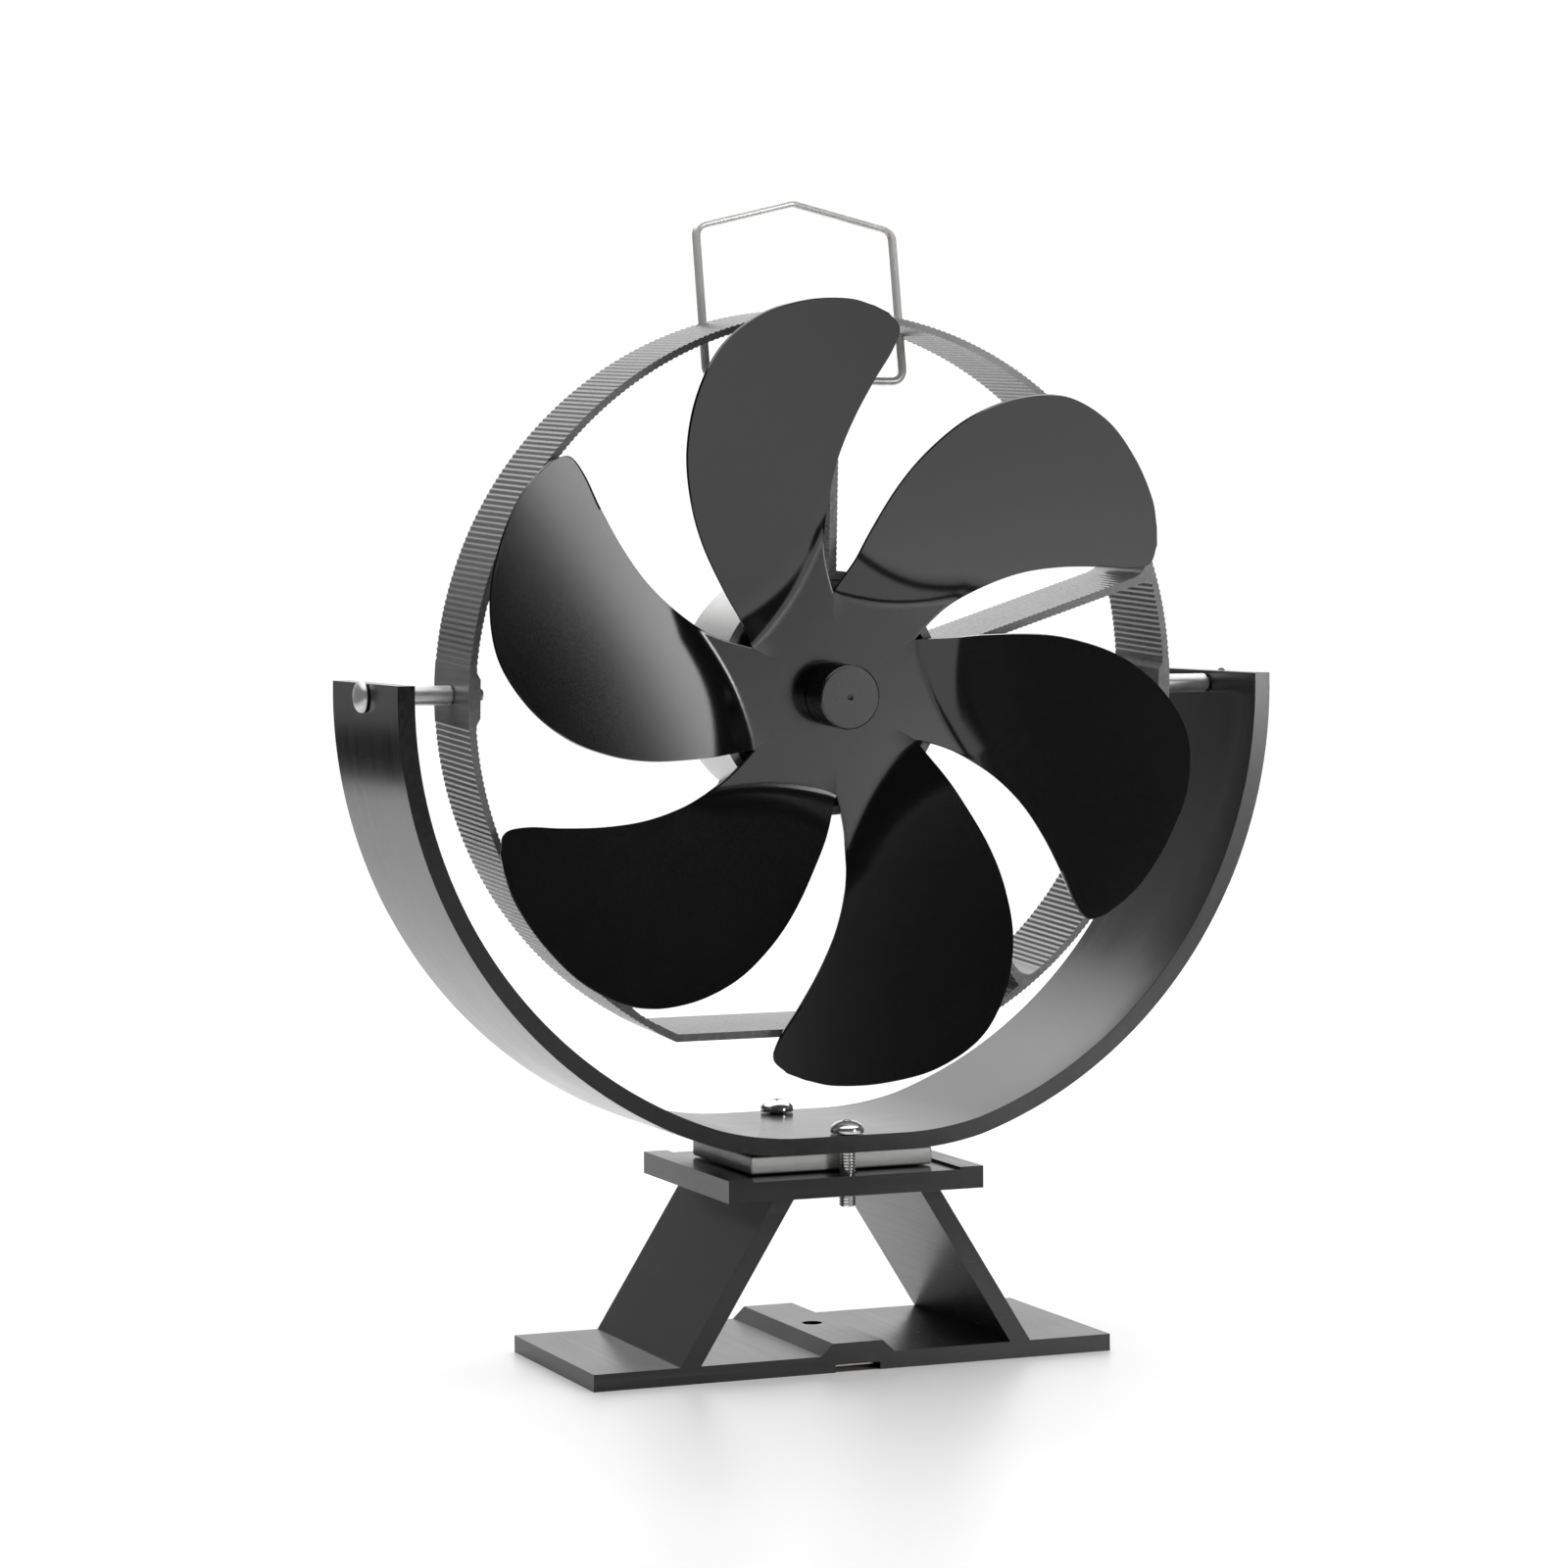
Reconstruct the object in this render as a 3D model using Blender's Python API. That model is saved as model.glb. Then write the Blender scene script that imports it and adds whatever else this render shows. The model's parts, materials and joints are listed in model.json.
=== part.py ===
# Heat-powered stove fan: a trestle stand, a curved cradle and a tilting round head with a six-blade fan.
# Metres, +Z up, the fan faces -Y. The origin is on the floor, under the middle of the whole fan.
import math

import bmesh
import bpy
from mathutils import Matrix, Vector

# Gaps shared by all pieces
CLEAR = 0.0003
OVERRUN = 0.002
ROUND_STEPS = 24
FINE_STEPS = 96

# Stand: one aluminium extrusion
BASE_LENGTH = 0.130
BASE_THICK = 0.004
BUMP_HEIGHT = 0.0028
BUMP_TOP_WIDTH = 0.0125
BUMP_SLOPE = 0.00295
BUMP_HOLE_RADIUS = 0.0024
CHANNEL_WIDTH = 0.0112
LEG_FOOT_SPREAD = 0.0415
LEG_TOP_SPREAD = 0.0185
LEG_WIDTH = 0.0051
STAND_HEIGHT = 0.046
TOP_PLATE_THICK = 0.0052
RIM_WIDTH = 0.006
RECESS_DEPTH = 0.0006
STAND_EDGE = 0.0041

# Bimetal strip in the channel, and its rivet
STRIP_SHORT = 0.0025
STRIP_SIDE_PLAY = 0.0006
STRIP_THICK = 0.0006
RIVET_LIP = 0.0016
RIVET_HEAD_THICK = 0.0004
RIVET_ABOVE_FLOOR = 0.0002
RIVET_SUNK = 0.0012

# Heat block and the thermoelectric module in its pocket
MODULE_SIZE = 0.030
CERAMIC_THICK = 0.0006
PELLET_HEIGHT = 0.0012
PELLET_ROWS = 9
PELLET_SLOT_SHARE = 0.3
BLOCK_END_WALL = 0.008
BLOCK_FACE_WALL = 0.0035
BLOCK_FLOOR = 0.0012
BLOCK_PLAY = 0.003

# Clamp screws
CLAMP_RADIUS = 0.002
CLAMP_FROM_BLOCK = 0.0009
CLAMP_HEAD_LIP = 0.002
CLAMP_HEAD_HEIGHT = 0.0029
CLAMP_SHOWING = 0.0032

# Pivots
REST_TILT = math.radians(3)
PIVOT_GAP = 0.0165
PIVOT_SHANK_RADIUS = 0.0015
PIVOT_HEAD_LIP = 0.0022
PIVOT_HEAD_HEIGHT = 0.0022
PIVOT_END = 0.0024
SPACER_WALL = 0.00045
NUT_WALL = 0.00095
NUT_THICK = 0.0018

# Cradle: a bent strip round the pivot
CRADLE_THICK = 0.004
CRADLE_FLAT = 0.0464
CRADLE_BLEND = 0.010
CRADLE_STEPS = 40
CRADLE_BLEND_STEPS = 8
CRADLE_EDGE = 0.0016
TIP_WALL = 0.0015

# Motor
MOTOR_RADIUS = 0.016
MOTOR_LENGTH = 0.020
CAN_WALL = 0.0008
MOTOR_BOSS_RADIUS = 0.004
MOTOR_BOSS_HEIGHT = 0.0019
END_CAP_THICK = 0.0025
END_CAP_RIM = 0.0012
MAGNET_THICK = 0.0032
MAGNET_ARC = math.radians(140)
AIR_GAP = 0.0006
POLES = 3
POLE_SHOE_ARC = math.radians(96)
CORE_HUB_SHARE = 0.27
POLE_NECK_SHARE = 0.36
POLE_SHOE_SHARE = 0.2
WINDING_SHARE = 0.144
COMMUTATOR_WALL = 0.0007
COMMUTATOR_LENGTH = 0.003
COMMUTATOR_SLOT = 0.0004
COMMUTATOR_SLOT_DEPTH = 0.0006
BRUSH_WIDTH = 0.002
BRUSH_HEIGHT = 0.003
BUSH_RADIUS = 0.0024
BUSH_LENGTH = 0.0018
SHAFT_RADIUS = 0.001

# Ring frame: outer ring, five spokes and the motor tube, one extrusion
RING_RADIUS = 0.0885
RING_WALL = 0.0018
RING_DEPTH = 0.025
RING_FLAT_CUT = 0.0082
BOSS_FLAT = 0.009
BOSS_SLOPE = 0.0015
BOSS_THICK = 0.0011
SPOKES = 5
FIRST_SPOKE = math.radians(18)
SPOKE_THICK = 0.002
SPOKE_FILLET = 0.004
MOTOR_SPACE = 0.0093
COUNTERBORE_STEP = 0.0012
COUNTERBORE_DEPTH = 0.004
TUBE_WALL_AT_FRONT = 0.002

# Motor plate and its two screws
PLATE_THICK = 0.0012
PLATE_SCREW_RADIUS = 0.0013
PLATE_SCREW_HEAD_LIP = 0.0011
PLATE_SCREW_HEAD_HEIGHT = 0.0014
PLATE_SCREW_FROM_BOSS = 0.0016

# Fan wheel, its hub and the front cap
BLADES = 6
WHEEL_OVERHANG = 0.003
WHEEL_GAP = 0.0019
SHEET_THICK = 0.0008
PITCH = math.radians(15.5)
BEND_WIDTH = 0.003
HUB_RADIUS = 0.005
SPIGOT_RADIUS = 0.0025
SPIGOT_LENGTH = 0.0055
SHAFT_PAST_SPIGOT = 0.0014
CAP_RADIUS = 0.0075
CAP_END_WALL = 0.0029
CAP_CHAMFER = 0.0004
CAP_DIMPLE_RADIUS = 0.0007
CAP_DIMPLE_DEPTH = 0.0005

# Blade outline: radius as a share of the wheel's, angle in degrees from +X, seen from the front
CONVEX_EDGE_SHARES = (
    (0.257, 92), (0.33, 85.5), (0.42, 81), (0.55, 76), (0.66, 71.5), (0.77, 66.3),
    (0.87, 60), (0.95, 53), (0.99, 45), (1.0, 37), (0.998, 30), (0.985, 25.5),
)
CONCAVE_EDGE_SHARES = (
    (0.257, 32), (0.33, 35), (0.40, 35.3), (0.50, 33.6), (0.60, 30.8), (0.70, 27.2),
    (0.80, 23.6), (0.88, 21.0), (0.94, 20.4), (0.972, 22.8),
)
CREASE_END_SHARES = (0.50, 33.6)
BLADE_ROWS = 16
BLADE_COLUMNS = 6

# Carrying handle
WIRE_RADIUS = 0.001
WIRE_PLAY = 0.00035
HANDLE_HALF_WIDTH = 0.025
HANDLE_SHOULDER_ABOVE_RING = 0.0235
HANDLE_APEX_RISE = 0.0062
HANDLE_DROP = 0.013
HANDLE_FOOT = 0.014
HANDLE_BEND_RADIUS = 0.003
HANDLE_LEAN = math.radians(13.5)
HANDLE_EDGE = 0.004

# Widths and depths worked out from the sizes above
BLOCK_WIDTH = MODULE_SIZE + 2 * BLOCK_END_WALL
BLOCK_DEPTH = MODULE_SIZE + 2 * BLOCK_FACE_WALL
TOP_PLATE_LENGTH = BLOCK_WIDTH + 2 * (BLOCK_PLAY + RIM_WIDTH)
CLAMP_SPREAD = BLOCK_DEPTH / 2 + CLAMP_RADIUS + CLAMP_FROM_BLOCK
CLAMP_HEAD_RADIUS = CLAMP_RADIUS + CLAMP_HEAD_LIP
STAND_DEPTH = 2 * (CLAMP_SPREAD + CLAMP_RADIUS + STAND_EDGE)
CRADLE_DEPTH = 2 * (CLAMP_SPREAD + CLAMP_RADIUS + CRADLE_EDGE)
STRIP_LENGTH = STAND_DEPTH - 2 * STRIP_SHORT
STRIP_WIDTH = CHANNEL_WIDTH - 2 * STRIP_SIDE_PLAY
RIVET_HEAD_RADIUS = BUMP_HOLE_RADIUS + RIVET_LIP

# Radii worked out from the sizes above
TUBE_BORE_RADIUS = MOTOR_RADIUS + MOTOR_SPACE
COUNTERBORE_RADIUS = TUBE_BORE_RADIUS + COUNTERBORE_STEP
TUBE_RADIUS = COUNTERBORE_RADIUS + TUBE_WALL_AT_FRONT
RING_INNER_RADIUS = RING_RADIUS - RING_WALL
RING_FLAT_DROP = RING_RADIUS - RING_FLAT_CUT
BOSS_FACE = RING_INNER_RADIUS - BOSS_THICK
BOSS_LENGTH = BOSS_FLAT + 2 * BOSS_SLOPE
CRADLE_INNER_RADIUS = RING_RADIUS + PIVOT_GAP
CRADLE_RADIUS = CRADLE_INNER_RADIUS + CRADLE_THICK
WHEEL_RADIUS = RING_RADIUS + WHEEL_OVERHANG
CORE_RADIUS = MOTOR_RADIUS - CAN_WALL - CLEAR - MAGNET_THICK - AIR_GAP
CORE_HUB_RADIUS = CORE_RADIUS * CORE_HUB_SHARE
POLE_NECK = CORE_RADIUS * POLE_NECK_SHARE
POLE_SHOE_THICK = CORE_RADIUS * POLE_SHOE_SHARE
WINDING_THICK = CORE_RADIUS * WINDING_SHARE
COMMUTATOR_RADIUS = SHAFT_RADIUS + CLEAR + COMMUTATOR_WALL + COMMUTATOR_SLOT_DEPTH
PLATE_SCREW_HEAD_RADIUS = PLATE_SCREW_RADIUS + PLATE_SCREW_HEAD_LIP
PLATE_SCREW_SPREAD = MOTOR_BOSS_RADIUS + PLATE_SCREW_FROM_BOSS + PLATE_SCREW_HEAD_RADIUS
PIVOT_HEAD_RADIUS = PIVOT_SHANK_RADIUS + PIVOT_HEAD_LIP
SPACER_RADIUS = PIVOT_SHANK_RADIUS + CLEAR + SPACER_WALL
NUT_ACROSS_FLATS = 2 * (PIVOT_SHANK_RADIUS + CLEAR + NUT_WALL)
HANDLE_HOLE_RADIUS = (
    WIRE_RADIUS / math.cos(HANDLE_LEAN) + RING_WALL / 2 * math.tan(HANDLE_LEAN) + WIRE_PLAY
)

# Heights above the floor
STRIP_BOTTOM = RIVET_ABOVE_FLOOR + RIVET_HEAD_THICK + CLEAR
CHANNEL_HEIGHT = STRIP_BOTTOM + STRIP_THICK + CLEAR
PLATE_UNDERSIDE = STAND_HEIGHT - TOP_PLATE_THICK
RECESS_FLOOR = STAND_HEIGHT - RECESS_DEPTH
BLOCK_BOTTOM = RECESS_FLOOR + CLEAR
POCKET_FLOOR = BLOCK_BOTTOM + BLOCK_FLOOR
MODULE_BOTTOM = POCKET_FLOOR + CLEAR
MODULE_TOP = MODULE_BOTTOM + 2 * CERAMIC_THICK + PELLET_HEIGHT + 2 * CLEAR
BLOCK_TOP = MODULE_TOP - CLEAR
CRADLE_BOTTOM = MODULE_TOP + CLEAR
CRADLE_FLOOR = CRADLE_BOTTOM + CRADLE_THICK
PIVOT_HEIGHT = CRADLE_BOTTOM + math.sqrt(CRADLE_RADIUS**2 - (CRADLE_FLAT / 2) ** 2)
TIP_ABOVE_PIVOT = PIVOT_SHANK_RADIUS + TIP_WALL

# Places along the fan's axis, measured forward from the pivots
RING_FRONT = RING_DEPTH / 2
PLATE_BACK = RING_FRONT - COUNTERBORE_DEPTH + CLEAR
PLATE_FRONT = PLATE_BACK + PLATE_THICK
CAN_FRONT = PLATE_BACK - CLEAR
CAN_BACK = CAN_FRONT - MOTOR_LENGTH
MOTOR_BOSS_FRONT = CAN_FRONT + MOTOR_BOSS_HEIGHT
CAVITY_FRONT = CAN_FRONT - CAN_WALL
CAVITY_BACK = CAN_BACK - CLEAR
END_CAP_BACK = CAVITY_BACK - END_CAP_THICK
MAGNET_FRONT = CAVITY_FRONT - CLEAR
MAGNET_BACK = CAVITY_BACK + END_CAP_RIM + CLEAR
COMMUTATOR_BACK = CAVITY_BACK + CLEAR
COMMUTATOR_FRONT = COMMUTATOR_BACK + COMMUTATOR_LENGTH
CORE_BACK = COMMUTATOR_FRONT + WINDING_THICK + 2 * CLEAR
CORE_FRONT = CAVITY_FRONT - WINDING_THICK - 2 * CLEAR
SHEET_BACK = RING_FRONT + WHEEL_GAP
SHEET_FRONT = SHEET_BACK + SHEET_THICK
HUB_BACK = MOTOR_BOSS_FRONT + 2 * CLEAR
HUB_FRONT = SHEET_BACK - CLEAR
SPIGOT_FRONT = HUB_FRONT + SPIGOT_LENGTH
SHAFT_FRONT = SPIGOT_FRONT + SHAFT_PAST_SPIGOT
CAP_BACK = SHEET_FRONT + CLEAR
CAP_FRONT = SHAFT_FRONT + CLEAR + CAP_END_WALL
HANDLE_BACK = RING_FRONT - HANDLE_EDGE


# Helpers
def clear_scene():
    for obj in list(bpy.data.objects):
        bpy.data.objects.remove(obj, do_unlink=True)


def material(name, colour, metallic, roughness):
    made = bpy.data.materials.new(name)
    made.use_nodes = True
    shader = made.node_tree.nodes["Principled BSDF"]
    shader.inputs["Base Color"].default_value = (*colour, 1)
    shader.inputs["Metallic"].default_value = metallic
    shader.inputs["Roughness"].default_value = roughness
    made.diffuse_color = (*colour, 1)
    return made


def empty(name, parent=None, location=(0, 0, 0), tilt=0.0):
    made = bpy.data.objects.new(name, None)
    bpy.context.scene.collection.objects.link(made)
    made.parent = parent
    made.location = location
    made.rotation_euler.x = tilt
    return made


def finish_mesh(bm, name, parent, surface):
    bmesh.ops.recalc_face_normals(bm, faces=bm.faces[:])
    mesh = bpy.data.meshes.new(name)
    bm.to_mesh(mesh)
    bm.free()
    mesh.shade_smooth()
    mesh.set_sharp_from_angle(angle=math.radians(30))
    mesh.materials.append(surface)
    made = bpy.data.objects.new(name, mesh)
    bpy.context.scene.collection.objects.link(made)
    made.parent = parent
    return made


def prism(name, loops, depth, parent, surface, y_middle=0.0):
    """A profile of (x, z) loops, the first the outline and the others holes, extruded along Y."""
    bm = bmesh.new()
    for loop in loops:
        verts = [bm.verts.new((x, y_middle + depth / 2, z)) for x, z in loop]
        for start, end in zip(verts, verts[1:] + verts[:1]):
            bm.edges.new((start, end))
    bmesh.ops.triangle_fill(bm, use_beauty=True, edges=bm.edges[:], normal=(0, 1, 0))
    extruded = bmesh.ops.extrude_face_region(bm, geom=bm.faces[:])
    moved = [item for item in extruded["geom"] if isinstance(item, bmesh.types.BMVert)]
    bmesh.ops.translate(bm, vec=(0, -depth, 0), verts=moved)
    return finish_mesh(bm, name, parent, surface)


def upright_prism(name, loop, bottom, top, parent, surface):
    """An outline of (x, y) points, extruded from bottom to top along Z."""
    made = prism(name, [loop], top - bottom, parent, surface)
    lift = Matrix.Translation((0, 0, (bottom + top) / 2))
    made.data.transform(lift @ Matrix.Rotation(math.radians(-90), 4, "X"))
    return made


def turned(name, profile, parent, surface, steps=ROUND_STEPS):
    """A closed profile of (radius, height) points, turned about the object's Z axis."""
    bm = bmesh.new()
    verts = [bm.verts.new((radius, 0, height)) for radius, height in profile]
    edges = [bm.edges.new(pair) for pair in zip(verts, verts[1:] + verts[:1])]
    bmesh.ops.spin(
        bm, geom=verts + edges, axis=(0, 0, 1), cent=(0, 0, 0), angle=math.tau, steps=steps,
        use_merge=True,
    )
    bmesh.ops.remove_doubles(bm, verts=bm.verts[:], dist=CLEAR / 100)
    bmesh.ops.dissolve_degenerate(bm, dist=CLEAR / 100, edges=bm.edges[:])
    on_axis = [edge for edge in bm.edges if not edge.link_faces]
    bmesh.ops.delete(bm, geom=on_axis, context="EDGES")
    return finish_mesh(bm, name, parent, surface)


def box(name, low, high, parent, surface):
    outline = [(low[0], low[1]), (high[0], low[1]), (high[0], high[1]), (low[0], high[1])]
    return upright_prism(name, outline, low[2], high[2], parent, surface)


def face_forward(piece, y=0.0, x=0.0, z=0.0):
    """Turns a piece's Z axis to -Y, the way the fan faces."""
    piece.rotation_euler.x = math.radians(90)
    piece.location = (x, y, z)
    return piece


def cut(piece, cutter):
    cutter.hide_render = True
    cutter.display_type = "WIRE"
    modifier = piece.modifiers.new("Cut by " + cutter.name, "BOOLEAN")
    modifier.operation = "DIFFERENCE"
    modifier.object = cutter
    return cutter


def polar(radius, angle):
    return radius * math.cos(angle), radius * math.sin(angle)


def arc(radius, start, end, steps, centre=(0, 0)):
    """Points from start to end, both ends included."""
    angles = [start + (end - start) * step / steps for step in range(steps + 1)]
    return [(centre[0] + radius * math.cos(a), centre[1] + radius * math.sin(a)) for a in angles]


def rounded_corner(before, corner, after, radius, steps):
    """The arc that replaces a corner of a polyline."""
    a = (Vector(before) - Vector(corner)).normalized()
    b = (Vector(after) - Vector(corner)).normalized()
    half = a.angle(b) / 2
    start = Vector(corner) + a * radius / math.tan(half)
    end = Vector(corner) + b * radius / math.tan(half)
    middle = Vector(corner) + (a + b).normalized() * radius / math.sin(half)
    points = []
    for step in range(steps + 1):
        away = (start - middle).lerp(end - middle, step / steps)
        points.append(middle + away.normalized() * radius)
    return points


def smooth_curve(points, count):
    """Count + 1 points, evenly spaced, on a smooth curve through the given ones."""
    points = [Vector(point) for point in points]
    padded = [2 * points[0] - points[1]] + points + [2 * points[-1] - points[-2]]
    fine = []
    for a, b, c, d in zip(padded, padded[1:], padded[2:], padded[3:]):
        for step in range(count):
            t = step / count
            curve = 2 * b + (c - a) * t + (2 * a - 5 * b + 4 * c - d) * t**2
            fine.append((curve + (3 * b - a - 3 * c + d) * t**3) / 2)
    fine.append(points[-1])
    lengths = [0.0]
    for start, end in zip(fine, fine[1:]):
        lengths.append(lengths[-1] + (end - start).length)
    even = []
    at = 0
    for step in range(count + 1):
        wanted = lengths[-1] * step / count
        while at < len(fine) - 2 and lengths[at + 1] < wanted:
            at += 1
        share = (wanted - lengths[at]) / (lengths[at + 1] - lengths[at])
        even.append(fine[at].lerp(fine[at + 1], min(share, 1)))
    return even


# Stand
def stand_outline():
    half_bump = BUMP_TOP_WIDTH / 2
    half_foot = half_bump + BUMP_SLOPE
    half_base, half_plate = BASE_LENGTH / 2, TOP_PLATE_LENGTH / 2
    foot, top = LEG_FOOT_SPREAD + LEG_WIDTH / 2, LEG_TOP_SPREAD + LEG_WIDTH / 2
    half_channel = CHANNEL_WIDTH / 2
    right = [
        (half_channel, CHANNEL_HEIGHT), (half_channel, 0), (half_base, 0), (half_base, BASE_THICK),
        (foot, BASE_THICK), (top, PLATE_UNDERSIDE), (half_plate, PLATE_UNDERSIDE),
        (half_plate, STAND_HEIGHT), (half_plate - RIM_WIDTH, STAND_HEIGHT),
        (half_plate - RIM_WIDTH, RECESS_FLOOR),
    ]
    window = [
        (foot - LEG_WIDTH, BASE_THICK), (top - LEG_WIDTH, PLATE_UNDERSIDE),
    ]
    bump = [(half_foot, BASE_THICK), (half_bump, BASE_THICK + BUMP_HEIGHT)]
    outline = right + [(-x, z) for x, z in reversed(right)]
    hole = [bump[1], bump[0], window[0], window[1]]
    return outline, hole + [(-x, z) for x, z in reversed(hole)]


def make_stand(parent, black):
    stand = prism("stand_base", stand_outline(), STAND_DEPTH, parent, black)
    rivet_hole = turned(
        "rivet_hole",
        [(0, -OVERRUN), (BUMP_HOLE_RADIUS, -OVERRUN),
         (BUMP_HOLE_RADIUS, BASE_THICK + BUMP_HEIGHT + OVERRUN), (0, BASE_THICK + BUMP_HEIGHT + OVERRUN)],
        parent, black,
    )
    cut(stand, rivet_hole)
    for side, word in ((-1, "front"), (1, "back")):
        radius = CLAMP_RADIUS + CLEAR
        hole = turned(
            "stand_clamp_hole_" + word,
            [(0, PLATE_UNDERSIDE - OVERRUN), (radius, PLATE_UNDERSIDE - OVERRUN),
             (radius, STAND_HEIGHT + OVERRUN), (0, STAND_HEIGHT + OVERRUN)],
            parent, black,
        )
        hole.location.y = side * CLAMP_SPREAD
        cut(stand, hole)
    return stand


def make_strip(parent, spring_steel, steel):
    top = STRIP_BOTTOM + STRIP_THICK
    strip = box(
        "bimetal_strip",
        (-STRIP_WIDTH / 2, -STRIP_LENGTH / 2, STRIP_BOTTOM),
        (STRIP_WIDTH / 2, STRIP_LENGTH / 2, top),
        parent, spring_steel,
    )
    hole = turned(
        "strip_hole",
        [(0, STRIP_BOTTOM - OVERRUN), (BUMP_HOLE_RADIUS, STRIP_BOTTOM - OVERRUN),
         (BUMP_HOLE_RADIUS, top + OVERRUN), (0, top + OVERRUN)],
        parent, steel,
    )
    cut(strip, hole)
    head_top = STRIP_BOTTOM - CLEAR
    shank = BUMP_HOLE_RADIUS - CLEAR
    rivet_top = BASE_THICK + BUMP_HEIGHT - RIVET_SUNK
    turned(
        "bimetal_rivet",
        [(0, RIVET_ABOVE_FLOOR), (RIVET_HEAD_RADIUS, RIVET_ABOVE_FLOOR),
         (RIVET_HEAD_RADIUS, head_top), (shank, head_top), (shank, rivet_top), (0, rivet_top)],
        parent, steel,
    )


# Heat block and thermoelectric module
def make_heat_block(parent, bare):
    half_x, half_y = BLOCK_WIDTH / 2, BLOCK_DEPTH / 2
    block = box(
        "heat_block", (-half_x, -half_y, BLOCK_BOTTOM), (half_x, half_y, BLOCK_TOP), parent, bare
    )
    half = MODULE_SIZE / 2 + CLEAR
    pocket = box(
        "module_pocket",
        (-half, -half, POCKET_FLOOR), (half, half, BLOCK_TOP + OVERRUN), parent, bare,
    )
    cut(block, pocket)


def pellet_outline():
    """The pellets stand in one long row that turns back and forth, as they are joined in series."""
    half = MODULE_SIZE / 2
    pitch = MODULE_SIZE / PELLET_ROWS
    slot = pitch * PELLET_SLOT_SHARE
    wall = pitch - slot
    left, right = [], []
    for row in range(PELLET_ROWS - 1):
        low = -half + row * pitch + wall
        if row % 2 == 0:
            right += [(half, low), (-half + wall, low), (-half + wall, low + slot), (half, low + slot)]
        else:
            left += [(-half, low), (half - wall, low), (half - wall, low + slot), (-half, low + slot)]
    return [(-half, -half), (half, -half)] + right + [(half, half), (-half, half)] + left[::-1]


def make_module(parent, ceramic, pellet):
    half = MODULE_SIZE / 2
    hot_top = MODULE_BOTTOM + CERAMIC_THICK
    cold_bottom = MODULE_TOP - CERAMIC_THICK
    box("module_hot_plate", (-half, -half, MODULE_BOTTOM), (half, half, hot_top), parent, ceramic)
    upright_prism("module_pellets", pellet_outline(), hot_top + CLEAR, cold_bottom - CLEAR, parent, pellet)
    box("module_cold_plate", (-half, -half, cold_bottom), (half, half, MODULE_TOP), parent, ceramic)


# Cradle
def cradle_side(radius, floor, blend):
    """The right half of one face of the strip, from the middle of the floor to the tip."""
    drop = PIVOT_HEIGHT - floor
    corner = (math.sqrt(radius**2 - drop**2), floor)
    tip_angle = math.asin(TIP_ABOVE_PIVOT / radius)
    corner_angle = math.atan2(-drop, corner[0])
    start_angle = corner_angle + blend / radius
    start = polar(radius, start_angle)
    start = (start[0], start[1] + PIVOT_HEIGHT)
    points = []
    for step in range(1, CRADLE_BLEND_STEPS):
        t = step / CRADLE_BLEND_STEPS
        low = Vector((corner[0] - blend, floor)).lerp(Vector(corner), t)
        high = Vector(corner).lerp(Vector(start), t)
        points.append(tuple(low.lerp(high, t)))
    rise = arc(radius, start_angle, tip_angle, CRADLE_STEPS, (0, PIVOT_HEIGHT))
    return [(corner[0] - blend, floor)] + points + rise


def make_cradle(parent, black):
    outer = cradle_side(CRADLE_RADIUS, CRADLE_BOTTOM, CRADLE_BLEND)
    inner = cradle_side(CRADLE_INNER_RADIUS, CRADLE_FLOOR, CRADLE_BLEND)
    left_outer = [(-x, z) for x, z in reversed(outer)]
    left_inner = [(-x, z) for x, z in inner]
    outline = left_outer + outer + inner[::-1] + left_inner
    cradle = prism("cradle", [outline], CRADLE_DEPTH, parent, black)
    for side, word in ((-1, "front"), (1, "back")):
        radius = CLAMP_RADIUS + CLEAR
        hole = turned(
            "cradle_clamp_hole_" + word,
            [(0, CRADLE_BOTTOM - OVERRUN), (radius, CRADLE_BOTTOM - OVERRUN),
             (radius, CRADLE_FLOOR + OVERRUN), (0, CRADLE_FLOOR + OVERRUN)],
            parent, black,
        )
        hole.location.y = side * CLAMP_SPREAD
        cut(cradle, hole)
    radius = PIVOT_SHANK_RADIUS + CLEAR
    reach = CRADLE_RADIUS + OVERRUN
    pivot_hole = turned(
        "cradle_pivot_hole", [(0, -reach), (radius, -reach), (radius, reach), (0, reach)], parent, black
    )
    pivot_hole.rotation_euler.y = math.radians(90)
    pivot_hole.location.z = PIVOT_HEIGHT
    cut(cradle, pivot_hole)


def domed_head(radius, height, bottom):
    """The outer half of a domed screw head, from the rim's foot to the crown."""
    rim = height / 4
    points = [(radius, bottom), (radius, bottom + rim)]
    for point in arc(1, 0, math.radians(90), 6)[1:]:
        points.append((radius * point[0], bottom + rim + (height - rim) * point[1]))
    points[-1] = (0, bottom + height)
    return points


def make_clamp_screws(parent, chrome):
    end = PLATE_UNDERSIDE - CLAMP_SHOWING
    head = CRADLE_FLOOR + CLEAR
    chamfer = CLAMP_RADIUS / 4
    for side, word in ((-1, "front"), (1, "back")):
        screw = turned(
            "clamp_screw_" + word,
            [(0, end), (CLAMP_RADIUS - chamfer, end), (CLAMP_RADIUS, end + chamfer),
             (CLAMP_RADIUS, head)] + domed_head(CLAMP_HEAD_RADIUS, CLAMP_HEAD_HEIGHT, head),
            parent, chrome,
        )
        screw.location.y = side * CLAMP_SPREAD


# Pivot screws, spacers and nuts, which stay with the cradle
def hexagon(across_flats):
    radius = across_flats / 2 / math.cos(math.radians(30))
    return [polar(radius, math.radians(60 * side)) for side in range(6)]


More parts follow.
